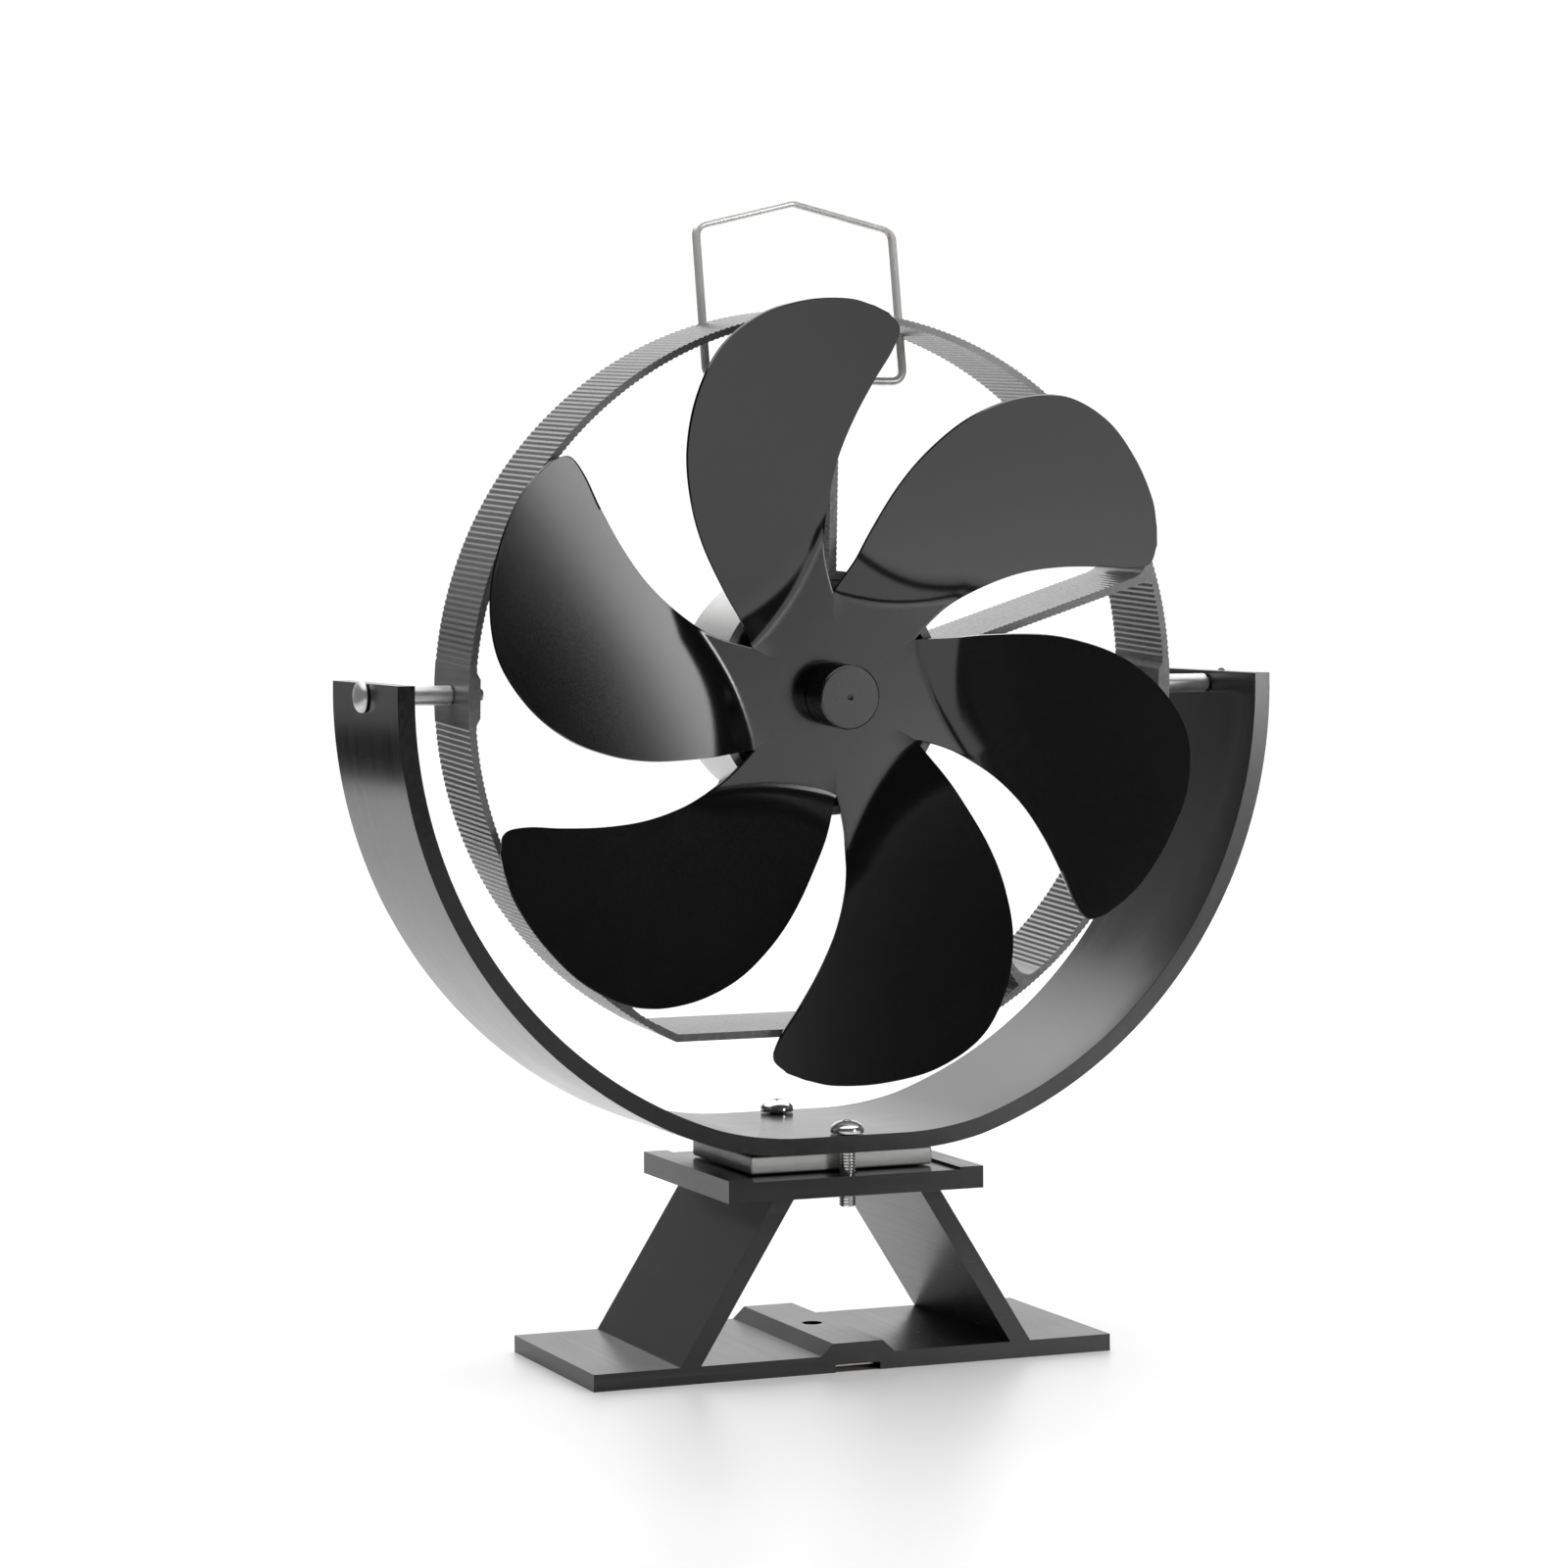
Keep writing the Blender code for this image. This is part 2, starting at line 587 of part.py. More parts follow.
def make_pivots(parent, chrome):
    bore = PIVOT_SHANK_RADIUS + CLEAR
    for side, word in ((-1, "left"), (1, "right")):
        nut_top = BOSS_FACE - CLEAR
        nut_bottom = nut_top - NUT_THICK
        end = nut_bottom - PIVOT_END
        head = CRADLE_RADIUS + CLEAR
        tip = PIVOT_SHANK_RADIUS / 3
        screw = turned(
            "pivot_screw_" + word,
            [(0, end), (PIVOT_SHANK_RADIUS - tip, end), (PIVOT_SHANK_RADIUS, end + tip),
             (PIVOT_SHANK_RADIUS, head)] + domed_head(PIVOT_HEAD_RADIUS, PIVOT_HEAD_HEIGHT, head),
            parent, chrome,
        )
        low, high = RING_RADIUS + CLEAR, CRADLE_INNER_RADIUS - 2 * CLEAR
        spacer = turned(
            "pivot_spacer_" + word,
            [(bore, low), (SPACER_RADIUS, low), (SPACER_RADIUS, high), (bore, high)], parent, chrome,
        )
        nut = upright_prism(
            "pivot_nut_" + word, hexagon(NUT_ACROSS_FLATS), nut_bottom, nut_top, parent, chrome
        )
        thread = turned(
            "nut_thread_" + word,
            [(0, nut_bottom - OVERRUN), (bore, nut_bottom - OVERRUN),
             (bore, nut_top + OVERRUN), (0, nut_top + OVERRUN)],
            parent, chrome,
        )
        cut(nut, thread)
        for piece in (screw, spacer, nut, thread):
            piece.rotation_euler.y = side * math.radians(90)
            piece.location.z = PIVOT_HEIGHT


# Ring frame
def ring_outline(radius, drop):
    """A round outline with a flat across its bottom."""
    corner = math.asin(-drop / radius)
    return arc(radius, corner, math.pi - corner, FINE_STEPS)


def inner_ring_angle_points(start, end):
    """The ring's inner face between two angles, with the flat and the pivot bosses."""
    drop = RING_FLAT_DROP - RING_WALL
    points = []
    count = max(int((end - start) / math.tau * FINE_STEPS), 2)
    for step in range(count + 1):
        angle = start + (end - start) * step / count
        down = -math.sin(angle)
        radius = RING_INNER_RADIUS
        if down > 0 and radius * down > drop:
            radius = drop / down
        points.append((angle, radius))
    corner = math.asin(drop / RING_INNER_RADIUS)
    for angle in (math.pi + corner, math.tau - corner):
        if start < angle < end:
            points.append((angle, RING_INNER_RADIUS))
    for middle in (math.pi, math.tau):
        if start < middle < end:
            points = [p for p in points if abs(p[0] - middle) * RING_RADIUS > BOSS_LENGTH / 2 + CLEAR]
            for half, face in ((BOSS_LENGTH / 2, RING_INNER_RADIUS), (BOSS_FLAT / 2, BOSS_FACE)):
                for side in (-1, 1):
                    angle = math.asin(half / face)
                    radius = face if face == RING_INNER_RADIUS else face / math.cos(angle)
                    points.append((middle + side * angle, radius))
    return [polar(radius, angle) for angle, radius in sorted(points)]


def spoke_window(number):
    """The opening between two spokes, its corners at the ring rounded on the spoke's upper side."""
    step = math.tau / SPOKES
    start = FIRST_SPOKE + number * step
    end = start + step
    half = SPOKE_THICK / 2
    outer_start = start + math.asin(half / RING_INNER_RADIUS)
    outer_end = end - math.asin(half / RING_INNER_RADIUS)
    inner_start = start + math.asin(half / TUBE_RADIUS)
    inner_end = end - math.asin(half / TUBE_RADIUS)
    rim = inner_ring_angle_points(outer_start, outer_end)
    tube = arc(TUBE_RADIUS, inner_end, inner_start, FINE_STEPS // 8)
    return rim, tube


def fillet(before, corner, after):
    return [tuple(p) for p in rounded_corner(before, corner, after, SPOKE_FILLET, 5)]


def make_ring(parent, black):
    loops = [ring_outline(RING_RADIUS, RING_FLAT_DROP)]
    for number in range(SPOKES):
        rim, tube = spoke_window(number)
        start_fillet = fillet(tube[-1], rim[0], rim[1])
        keep = [p for p in rim[1:] if (Vector(p) - Vector(rim[0])).length > 2 * SPOKE_FILLET]
        loops.append(start_fillet + keep + tube)
    half_step = math.pi / FINE_STEPS
    loops.append(arc(TUBE_BORE_RADIUS, half_step, math.tau + half_step, FINE_STEPS)[:-1])
    ring = prism("ring_frame", loops, RING_DEPTH, parent, black)
    counterbore = turned(
        "counterbore",
        [(0, RING_FRONT - COUNTERBORE_DEPTH), (COUNTERBORE_RADIUS, RING_FRONT - COUNTERBORE_DEPTH),
         (COUNTERBORE_RADIUS, RING_FRONT + OVERRUN), (0, RING_FRONT + OVERRUN)],
        parent, black, FINE_STEPS,
    )
    cut(ring, face_forward(counterbore))
    radius = PIVOT_SHANK_RADIUS + CLEAR
    for side, word in ((-1, "left"), (1, "right")):
        low, high = BOSS_FACE - OVERRUN, RING_RADIUS + OVERRUN
        hole = turned(
            "ring_pivot_hole_" + word, [(0, low), (radius, low), (radius, high), (0, high)], parent, black
        )
        hole.rotation_euler.y = side * math.radians(90)
        cut(ring, hole)
        low = math.sqrt(RING_INNER_RADIUS**2 - HANDLE_HALF_WIDTH**2) - OVERRUN
        high = low + RING_WALL + 2 * OVERRUN
        hole = turned(
            "handle_hole_" + word,
            [(0, low), (HANDLE_HOLE_RADIUS, low), (HANDLE_HOLE_RADIUS, high), (0, high)], parent, black,
        )
        hole.location = (side * HANDLE_HALF_WIDTH, HANDLE_BACK, 0)
        cut(ring, hole)


# Motor plate, screws and motor, all fixed in the tube
def make_motor_plate(parent, zinc, chrome):
    radius = COUNTERBORE_RADIUS - CLEAR
    centre = MOTOR_BOSS_RADIUS + CLEAR
    plate = turned(
        "motor_plate",
        [(centre, PLATE_BACK), (radius, PLATE_BACK), (radius, PLATE_FRONT), (centre, PLATE_FRONT)],
        parent, zinc, FINE_STEPS // 2,
    )
    face_forward(plate)
    head = PLATE_FRONT + CLEAR
    bore = PLATE_SCREW_RADIUS + CLEAR
    holes = []
    for side, word in ((-1, "lower"), (1, "upper")):
        place = {"z": side * PLATE_SCREW_SPREAD}
        screw = turned(
            "plate_screw_" + word,
            [(0, CAVITY_FRONT), (PLATE_SCREW_RADIUS, CAVITY_FRONT), (PLATE_SCREW_RADIUS, head)]
            + domed_head(PLATE_SCREW_HEAD_RADIUS, PLATE_SCREW_HEAD_HEIGHT, head),
            parent, chrome, ROUND_STEPS // 2,
        )
        face_forward(screw, **place)
        low, high = CAVITY_FRONT - OVERRUN, head + OVERRUN
        hole = turned(
            "plate_screw_hole_" + word, [(0, low), (bore, low), (bore, high), (0, high)], parent, zinc
        )
        face_forward(hole, **place)
        cut(plate, hole)
        holes.append(hole)
    return holes


def make_motor_can(parent, zinc, plastic, holes):
    inner = MOTOR_RADIUS - CAN_WALL
    bush = BUSH_RADIUS + CLEAR
    can = turned(
        "motor_can",
        [(bush, CAVITY_FRONT), (inner, CAVITY_FRONT), (inner, CAN_BACK), (MOTOR_RADIUS, CAN_BACK),
         (MOTOR_RADIUS, CAN_FRONT), (MOTOR_BOSS_RADIUS, CAN_FRONT),
         (MOTOR_BOSS_RADIUS, MOTOR_BOSS_FRONT), (bush, MOTOR_BOSS_FRONT)],
        parent, zinc,
    )
    face_forward(can)
    for hole in holes:
        cut(can, hole)
    rim_top = CAVITY_BACK + END_CAP_RIM
    rim_outer, rim_inner = inner - CLEAR, inner - CLEAR - END_CAP_RIM
    end_cap = turned(
        "motor_end_cap",
        [(bush, END_CAP_BACK), (MOTOR_RADIUS, END_CAP_BACK), (MOTOR_RADIUS, CAVITY_BACK),
         (rim_outer, CAVITY_BACK), (rim_outer, rim_top), (rim_inner, rim_top),
         (rim_inner, CAVITY_BACK), (bush, CAVITY_BACK)],
        parent, plastic,
    )
    face_forward(end_cap)


def make_magnets(parent, ferrite):
    outer = MOTOR_RADIUS - CAN_WALL - CLEAR
    inner = outer - MAGNET_THICK
    for turn, word in ((0, "right"), (math.pi, "left")):
        start, end = turn - MAGNET_ARC / 2, turn + MAGNET_ARC / 2
        outline = arc(outer, start, end, ROUND_STEPS // 2) + arc(inner, end, start, ROUND_STEPS // 2)
        length, middle = MAGNET_FRONT - MAGNET_BACK, (MAGNET_FRONT + MAGNET_BACK) / 2
        prism("motor_magnet_" + word, [outline], length, parent, ferrite, -middle)


def core_outline():
    """A core with three poles: each has a neck and a curved shoe."""
    points = []
    shoe_inner = CORE_RADIUS - POLE_SHOE_THICK
    half_neck = POLE_NECK / 2
    for pole in range(POLES):
        turn = math.radians(90) + pole * math.tau / POLES
        neck_low = math.asin(half_neck / CORE_HUB_RADIUS)
        neck_high = math.asin(half_neck / shoe_inner)
        points.append(polar(CORE_HUB_RADIUS, turn - neck_low))
        points.append(polar(shoe_inner, turn - neck_high))
        points += arc(shoe_inner, turn - neck_high, turn - POLE_SHOE_ARC / 2, 4)[1:]
        points += arc(CORE_RADIUS, turn - POLE_SHOE_ARC / 2, turn + POLE_SHOE_ARC / 2, 10)
        points += arc(shoe_inner, turn + POLE_SHOE_ARC / 2, turn + neck_high, 4)
        points.append(polar(CORE_HUB_RADIUS, turn + neck_low))
    return points


def make_core(parent, iron, copper):
    bore = arc(SHAFT_RADIUS + CLEAR, 0, math.tau, ROUND_STEPS)[:-1]
    length, middle = CORE_FRONT - CORE_BACK, (CORE_FRONT + CORE_BACK) / 2
    prism("motor_core", [core_outline(), bore], length, parent, iron, -middle)
    inner_x, inner_y = POLE_NECK / 2 + CLEAR, length / 2 + CLEAR
    outer_x, outer_y = inner_x + WINDING_THICK, inner_y + WINDING_THICK
    low = (CORE_HUB_RADIUS + outer_x) / math.tan(math.pi / POLES) + CLEAR
    high = math.sqrt((CORE_RADIUS - POLE_SHOE_THICK) ** 2 - outer_x**2) - CLEAR
    for pole in range(POLES):
        winding = upright_prism(
            "motor_winding_" + str(pole + 1),
            [(-outer_x, -outer_y), (outer_x, -outer_y), (outer_x, outer_y), (-outer_x, outer_y)],
            low, high, parent, copper,
        )
        opening = upright_prism(
            "winding_opening_" + str(pole + 1),
            [(-inner_x, -inner_y), (inner_x, -inner_y), (inner_x, inner_y), (-inner_x, inner_y)],
            low - OVERRUN, high + OVERRUN, parent, copper,
        )
        for piece in (winding, opening):
            piece.location.y = -middle
            piece.rotation_euler.y = -pole * math.tau / POLES
        cut(winding, opening)


def make_commutator(rotor, head, copper, carbon):
    outer, inner = COMMUTATOR_RADIUS, SHAFT_RADIUS + CLEAR
    half_slot = COMMUTATOR_SLOT / 2
    outline = []
    for slot in range(POLES):
        turn = math.radians(30) + slot * math.tau / POLES
        rim, floor = math.asin(half_slot / outer), math.asin(half_slot / (outer - COMMUTATOR_SLOT_DEPTH))
        outline += [polar(outer - COMMUTATOR_SLOT_DEPTH, turn - floor)]
        outline += [polar(outer - COMMUTATOR_SLOT_DEPTH, turn + floor)]
        outline += arc(outer, turn + rim, turn + math.tau / POLES - rim, 8)
    bore = arc(inner, 0, math.tau, ROUND_STEPS)[:-1]
    middle = (COMMUTATOR_FRONT + COMMUTATOR_BACK) / 2
    prism("motor_commutator", [outline, bore], COMMUTATOR_LENGTH, rotor, copper, -middle)
    near = COMMUTATOR_RADIUS + CLEAR
    for side, word in ((-1, "left"), (1, "right")):
        ends = sorted((side * near, side * (near + BRUSH_WIDTH)))
        box(
            "motor_brush_" + word,
            (ends[0], -COMMUTATOR_FRONT, -BRUSH_HEIGHT / 2),
            (ends[1], -COMMUTATOR_BACK, BRUSH_HEIGHT / 2),
            head, carbon,
        )


def make_bushes(parent, bronze):
    bore = SHAFT_RADIUS + CLEAR
    for word, low in (("front", MOTOR_BOSS_FRONT - BUSH_LENGTH), ("rear", END_CAP_BACK)):
        bush = turned(
            "motor_bush_" + word,
            [(bore, low), (BUSH_RADIUS, low), (BUSH_RADIUS, low + BUSH_LENGTH), (bore, low + BUSH_LENGTH)],
            parent, bronze,
        )
        face_forward(bush)


# Fan wheel: one stamped sheet
def share_point(share, turn=0.0):
    return Vector(polar(share[0] * WHEEL_RADIUS, math.radians(share[1]) + turn))


def blade_lift(point, turn):
    """How far the sheet comes forward: nothing on the hub's side of the crease, then a steady slope."""
    start = share_point(CONVEX_EDGE_SHARES[0], turn)
    along = (share_point(CREASE_END_SHARES, turn) - start).normalized()
    away = (point - start).dot(Vector((-along.y, along.x)))
    if away <= -BEND_WIDTH:
        bent = 0.0
    elif away < BEND_WIDTH:
        bent = (away + BEND_WIDTH) ** 2 / (4 * BEND_WIDTH)
    else:
        bent = away
    return bent * math.tan(PITCH)


def blade_grid(turn):
    """Rows of (x, z, lift) points, from the hub to the tip, each from the convex to the concave edge."""
    convex = smooth_curve([share_point(s, turn) for s in CONVEX_EDGE_SHARES], BLADE_ROWS)
    concave = smooth_curve([share_point(s, turn) for s in CONCAVE_EDGE_SHARES], BLADE_ROWS)
    rows = []
    for start, end in zip(convex, concave):
        row = []
        for column in range(BLADE_COLUMNS + 1):
            point = start.lerp(end, column / BLADE_COLUMNS)
            row.append((point.x, point.y, blade_lift(point, turn)))
        rows.append(row)
    return rows


def make_wheel(parent, black):
    bm = bmesh.new()
    bore = SPIGOT_RADIUS + CLEAR
    hub_rim, bore_rim = [], []
    for blade in range(BLADES):
        turn = -blade * math.tau / BLADES
        grid = blade_grid(turn)
        for row in grid:
            row[:] = [bm.verts.new((x, -SHEET_FRONT - lift, z)) for x, z, lift in row]
        for below, above in zip(grid, grid[1:]):
            for column in range(BLADE_COLUMNS):
                bm.faces.new((below[column], below[column + 1], above[column + 1], above[column]))
        hub_rim += grid[0][:-1]
    for vert in hub_rim:
        x, z = polar(bore, math.atan2(vert.co.z, vert.co.x))
        bore_rim.append(bm.verts.new((x, -SHEET_FRONT, z)))
    for at, vert in enumerate(hub_rim):
        after = (at + 1) % len(hub_rim)
        bm.faces.new((bore_rim[at], bore_rim[after], hub_rim[after], vert))
    bmesh.ops.remove_doubles(bm, verts=bm.verts[:], dist=CLEAR / 10)
    wheel = finish_mesh(bm, "fan_wheel", parent, black)
    sheet = wheel.modifiers.new("Sheet", "SOLIDIFY")
    sheet.thickness = SHEET_THICK
    return wheel


def make_hub(parent, black, steel):
    bore = SHAFT_RADIUS + CLEAR
    hub = turned(
        "wheel_hub",
        [(bore, HUB_BACK), (HUB_RADIUS, HUB_BACK), (HUB_RADIUS, HUB_FRONT), (SPIGOT_RADIUS, HUB_FRONT),
         (SPIGOT_RADIUS, SPIGOT_FRONT), (bore, SPIGOT_FRONT)],
        parent, steel,
    )
    face_forward(hub)
    thread = SPIGOT_RADIUS + CLEAR
    cap = turned(
        "front_cap",
        [(thread, CAP_BACK), (CAP_RADIUS, CAP_BACK), (CAP_RADIUS, CAP_FRONT - CAP_CHAMFER),
         (CAP_RADIUS - CAP_CHAMFER, CAP_FRONT), (CAP_DIMPLE_RADIUS, CAP_FRONT),
         (0, CAP_FRONT - CAP_DIMPLE_DEPTH), (0, SHAFT_FRONT + CLEAR), (bore, SHAFT_FRONT + CLEAR),
         (bore, SPIGOT_FRONT + CLEAR), (thread, SPIGOT_FRONT + CLEAR)],
        parent, black, 2 * ROUND_STEPS,
    )
    face_forward(cap)
    shaft = turned(
        "motor_shaft",
        [(0, END_CAP_BACK), (SHAFT_RADIUS, END_CAP_BACK), (SHAFT_RADIUS, SHAFT_FRONT), (0, SHAFT_FRONT)],
        parent, steel,
    )
    face_forward(shaft)


# Carrying handle: one bent wire
def handle_path():
    """Half the wire, from the foot's end to the apex, in the handle's own frame, whose origin is in the hole."""
    hole = math.sqrt(RING_RADIUS**2 - HANDLE_HALF_WIDTH**2)
    corner = (HANDLE_HALF_WIDTH, -HANDLE_DROP)
    shoulder = (HANDLE_HALF_WIDTH, HANDLE_SHOULDER_ABOVE_RING)
    apex = (0, HANDLE_SHOULDER_ABOVE_RING + HANDLE_APEX_RISE)
    foot = (HANDLE_HALF_WIDTH - HANDLE_FOOT, -HANDLE_DROP)
    path = [Vector(foot)]
    path += rounded_corner(foot, corner, shoulder, HANDLE_BEND_RADIUS, 5)
    path += rounded_corner(corner, shoulder, apex, HANDLE_BEND_RADIUS, 4)
    apex_bend = rounded_corner(shoulder, apex, (-shoulder[0], shoulder[1]), HANDLE_BEND_RADIUS, 2)
    return hole, path, apex_bend


def make_handle(head, stainless):
    hole, half, bend = handle_path()
    slide = empty("handle_slide", head, (0, HANDLE_BACK, hole), -HANDLE_LEAN)
    points = half + bend + [Vector((-p.x, p.y)) for p in reversed(half)]
    curve = bpy.data.curves.new("handle", "CURVE")
    curve.dimensions = "3D"
    curve.bevel_depth = WIRE_RADIUS
    curve.bevel_resolution = 3
    curve.use_fill_caps = True
    spline = curve.splines.new("POLY")
    spline.points.add(len(points) - 1)
    for place, point in zip(spline.points, points):
        place.co = (point.x, 0, point.y, 1)
    curve.materials.append(stainless)
    handle = bpy.data.objects.new("handle", curve)
    bpy.context.scene.collection.objects.link(handle)
    handle.parent = slide
    return handle


def centre_on_floor(root):
    """Moves the whole fan along Y, so that the origin is under the middle of its bounding box."""
    bpy.context.view_layer.update()
    graph = bpy.context.evaluated_depsgraph_get()
    reach = []
    for obj in bpy.data.objects:
        if obj.type != "EMPTY" and not obj.hide_render:
            seen = obj.evaluated_get(graph)
            reach += [(seen.matrix_world @ vert.co).y for vert in seen.to_mesh().vertices]
    root.location.y = -(min(reach) + max(reach)) / 2


def make_fan():
    clear_scene()
    black = material("black_anodised", (0.035, 0.035, 0.036), 0.6, 0.35)
    blade_black = material("blade_black", (0.03, 0.03, 0.031), 0.7, 0.25)
    bare = material("bare_aluminium", (0.75, 0.75, 0.76), 1.0, 0.35)
    chrome = material("chrome_steel", (0.8, 0.8, 0.8), 1.0, 0.12)
    stainless = material("stainless_wire", (0.62, 0.61, 0.59), 1.0, 0.22)
    zinc = material("zinc_plate", (0.6, 0.61, 0.62), 1.0, 0.35)
    ceramic = material("white_ceramic", (0.85, 0.85, 0.83), 0.0, 0.5)
    pellet = material("bismuth_pellet", (0.2, 0.2, 0.22), 0.8, 0.4)
    plastic = material("black_plastic", (0.02, 0.02, 0.02), 0.0, 0.5)
    ferrite = material("ferrite", (0.06, 0.06, 0.065), 0.1, 0.6)
    iron = material("core_iron", (0.35, 0.35, 0.36), 1.0, 0.45)
    copper = material("copper", (0.72, 0.36, 0.2), 1.0, 0.3)
    carbon = material("brush_carbon", (0.04, 0.04, 0.04), 0.0, 0.7)
    bronze = material("bush_bronze", (0.55, 0.38, 0.18), 1.0, 0.4)
    spring_steel = material("bimetal", (0.5, 0.47, 0.42), 1.0, 0.35)

    root = empty("floor_centre")
    make_stand(root, black)
    make_strip(root, spring_steel, zinc)
    make_heat_block(root, bare)
    make_module(root, ceramic, pellet)
    make_cradle(root, black)
    make_clamp_screws(root, chrome)
    make_pivots(root, chrome)

    head = empty("head_pivot", root, (0, 0, PIVOT_HEIGHT), REST_TILT)
    make_ring(head, black)
    holes = make_motor_plate(head, zinc, chrome)
    make_motor_can(head, zinc, plastic, holes)
    make_magnets(head, ferrite)
    make_bushes(head, bronze)

    rotor = empty("fan_axis", head)
    make_core(rotor, iron, copper)
    make_commutator(rotor, head, copper, carbon)
    make_wheel(rotor, blade_black)
    make_hub(rotor, blade_black, zinc)
    make_handle(head, stainless)
    centre_on_floor(root)


make_fan()
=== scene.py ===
# Stove fan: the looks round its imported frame, in the order in which the real fan is put together.
import json
import math

import bpy
from mathutils import Matrix, Vector


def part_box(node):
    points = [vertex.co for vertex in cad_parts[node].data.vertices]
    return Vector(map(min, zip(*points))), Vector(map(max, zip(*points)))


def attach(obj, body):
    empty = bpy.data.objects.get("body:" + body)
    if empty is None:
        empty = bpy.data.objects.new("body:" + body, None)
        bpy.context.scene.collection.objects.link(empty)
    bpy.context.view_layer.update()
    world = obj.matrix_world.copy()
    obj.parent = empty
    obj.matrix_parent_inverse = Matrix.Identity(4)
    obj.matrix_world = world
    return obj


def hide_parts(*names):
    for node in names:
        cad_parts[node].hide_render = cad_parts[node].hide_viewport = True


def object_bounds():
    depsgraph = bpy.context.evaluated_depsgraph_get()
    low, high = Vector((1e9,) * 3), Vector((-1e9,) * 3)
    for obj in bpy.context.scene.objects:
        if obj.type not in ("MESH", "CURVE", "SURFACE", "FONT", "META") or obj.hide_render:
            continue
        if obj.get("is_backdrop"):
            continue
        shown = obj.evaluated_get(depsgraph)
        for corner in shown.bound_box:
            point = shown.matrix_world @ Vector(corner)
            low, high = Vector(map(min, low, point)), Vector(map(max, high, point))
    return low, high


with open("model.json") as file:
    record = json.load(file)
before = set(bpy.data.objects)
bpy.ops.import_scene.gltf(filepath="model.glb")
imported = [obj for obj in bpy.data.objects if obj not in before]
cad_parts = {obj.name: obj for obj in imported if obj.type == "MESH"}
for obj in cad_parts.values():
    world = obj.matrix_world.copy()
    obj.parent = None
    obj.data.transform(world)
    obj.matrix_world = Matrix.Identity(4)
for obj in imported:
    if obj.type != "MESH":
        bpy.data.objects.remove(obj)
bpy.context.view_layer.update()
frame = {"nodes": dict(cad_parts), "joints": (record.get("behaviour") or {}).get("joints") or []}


# ---- Stand ----
# One length of an aluminium extrusion: base plate with a raised middle and a channel, two slanted legs
# and the top plate with its rims. It is sawn off, its edges are broken, and it is drilled for the rivet
# and the two clamp screws before it is anodised black.
STAND_EDGE = 0.00025
ANODISED_BLACK = (0.002, 0.002, 0.002)
ANODISED_PALE = (0.014, 0.014, 0.0141)
STREAK_DEPTH = 0.0000015


def start_afresh():
    """Object mode, with nothing selected."""
    if bpy.context.mode != "OBJECT":
        bpy.ops.object.mode_set(mode="OBJECT")
    bpy.ops.object.select_all(action="DESELECT")


def take_up(piece):
    """Selects one piece alone."""
    start_afresh()
    piece.select_set(True)
    bpy.context.view_layer.objects.active = piece


def another(source, name):
    """A copy with a mesh of its own."""
    take_up(source)
    bpy.ops.object.duplicate()
    piece = bpy.context.object
    piece.name = piece.data.name = name
    return piece


def copy_of_node(node, name):
    """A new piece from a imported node: its loose triangles merged, and its flat faces made whole again."""
    piece = another(frame["nodes"][node], name)
    for note in list(piece.keys()):
        del piece[note]
    piece.parent = None
    piece.data.materials.clear()
    bpy.ops.object.mode_set(mode="EDIT")
    bpy.ops.mesh.select_all(action="SELECT")
    bpy.ops.mesh.remove_doubles(threshold=0.000002)
    bpy.ops.mesh.dissolve_limited(angle_limit=math.radians(0.5))
    bpy.ops.object.mode_set(mode="OBJECT")
    return piece


def apply_modifiers(piece):
    """Turns all of a piece's modifiers into mesh."""
    take_up(piece)
    for modifier in list(piece.modifiers):
        bpy.ops.object.modifier_apply(modifier=modifier.name)


def break_edges(piece, width, segments=2, angle=30):
    """Rounds the sharp edges a little, and keeps the flat faces flat in the light."""
    bevel = piece.modifiers.new("Broken edges", "BEVEL")
    bevel.width = width
    bevel.segments = segments
    bevel.limit_method = "ANGLE"
    bevel.angle_limit = math.radians(angle)
    bevel.miter_outer = "MITER_ARC"
    piece.data.shade_smooth()
    flats = piece.modifiers.new("Flat faces", "WEIGHTED_NORMAL")
    flats.weight = 80
    apply_modifiers(piece)
    return piece


def coat(piece, finish):
    """The finish becomes the piece's only one."""
    piece.data.materials.clear()
    piece.data.materials.append(finish)


def settle(piece, body, finish, node):
    """The piece gets its finish, moves with its body and stands for the node it was made for."""
    coat(piece, finish)
    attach(piece, body)
    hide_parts(node)


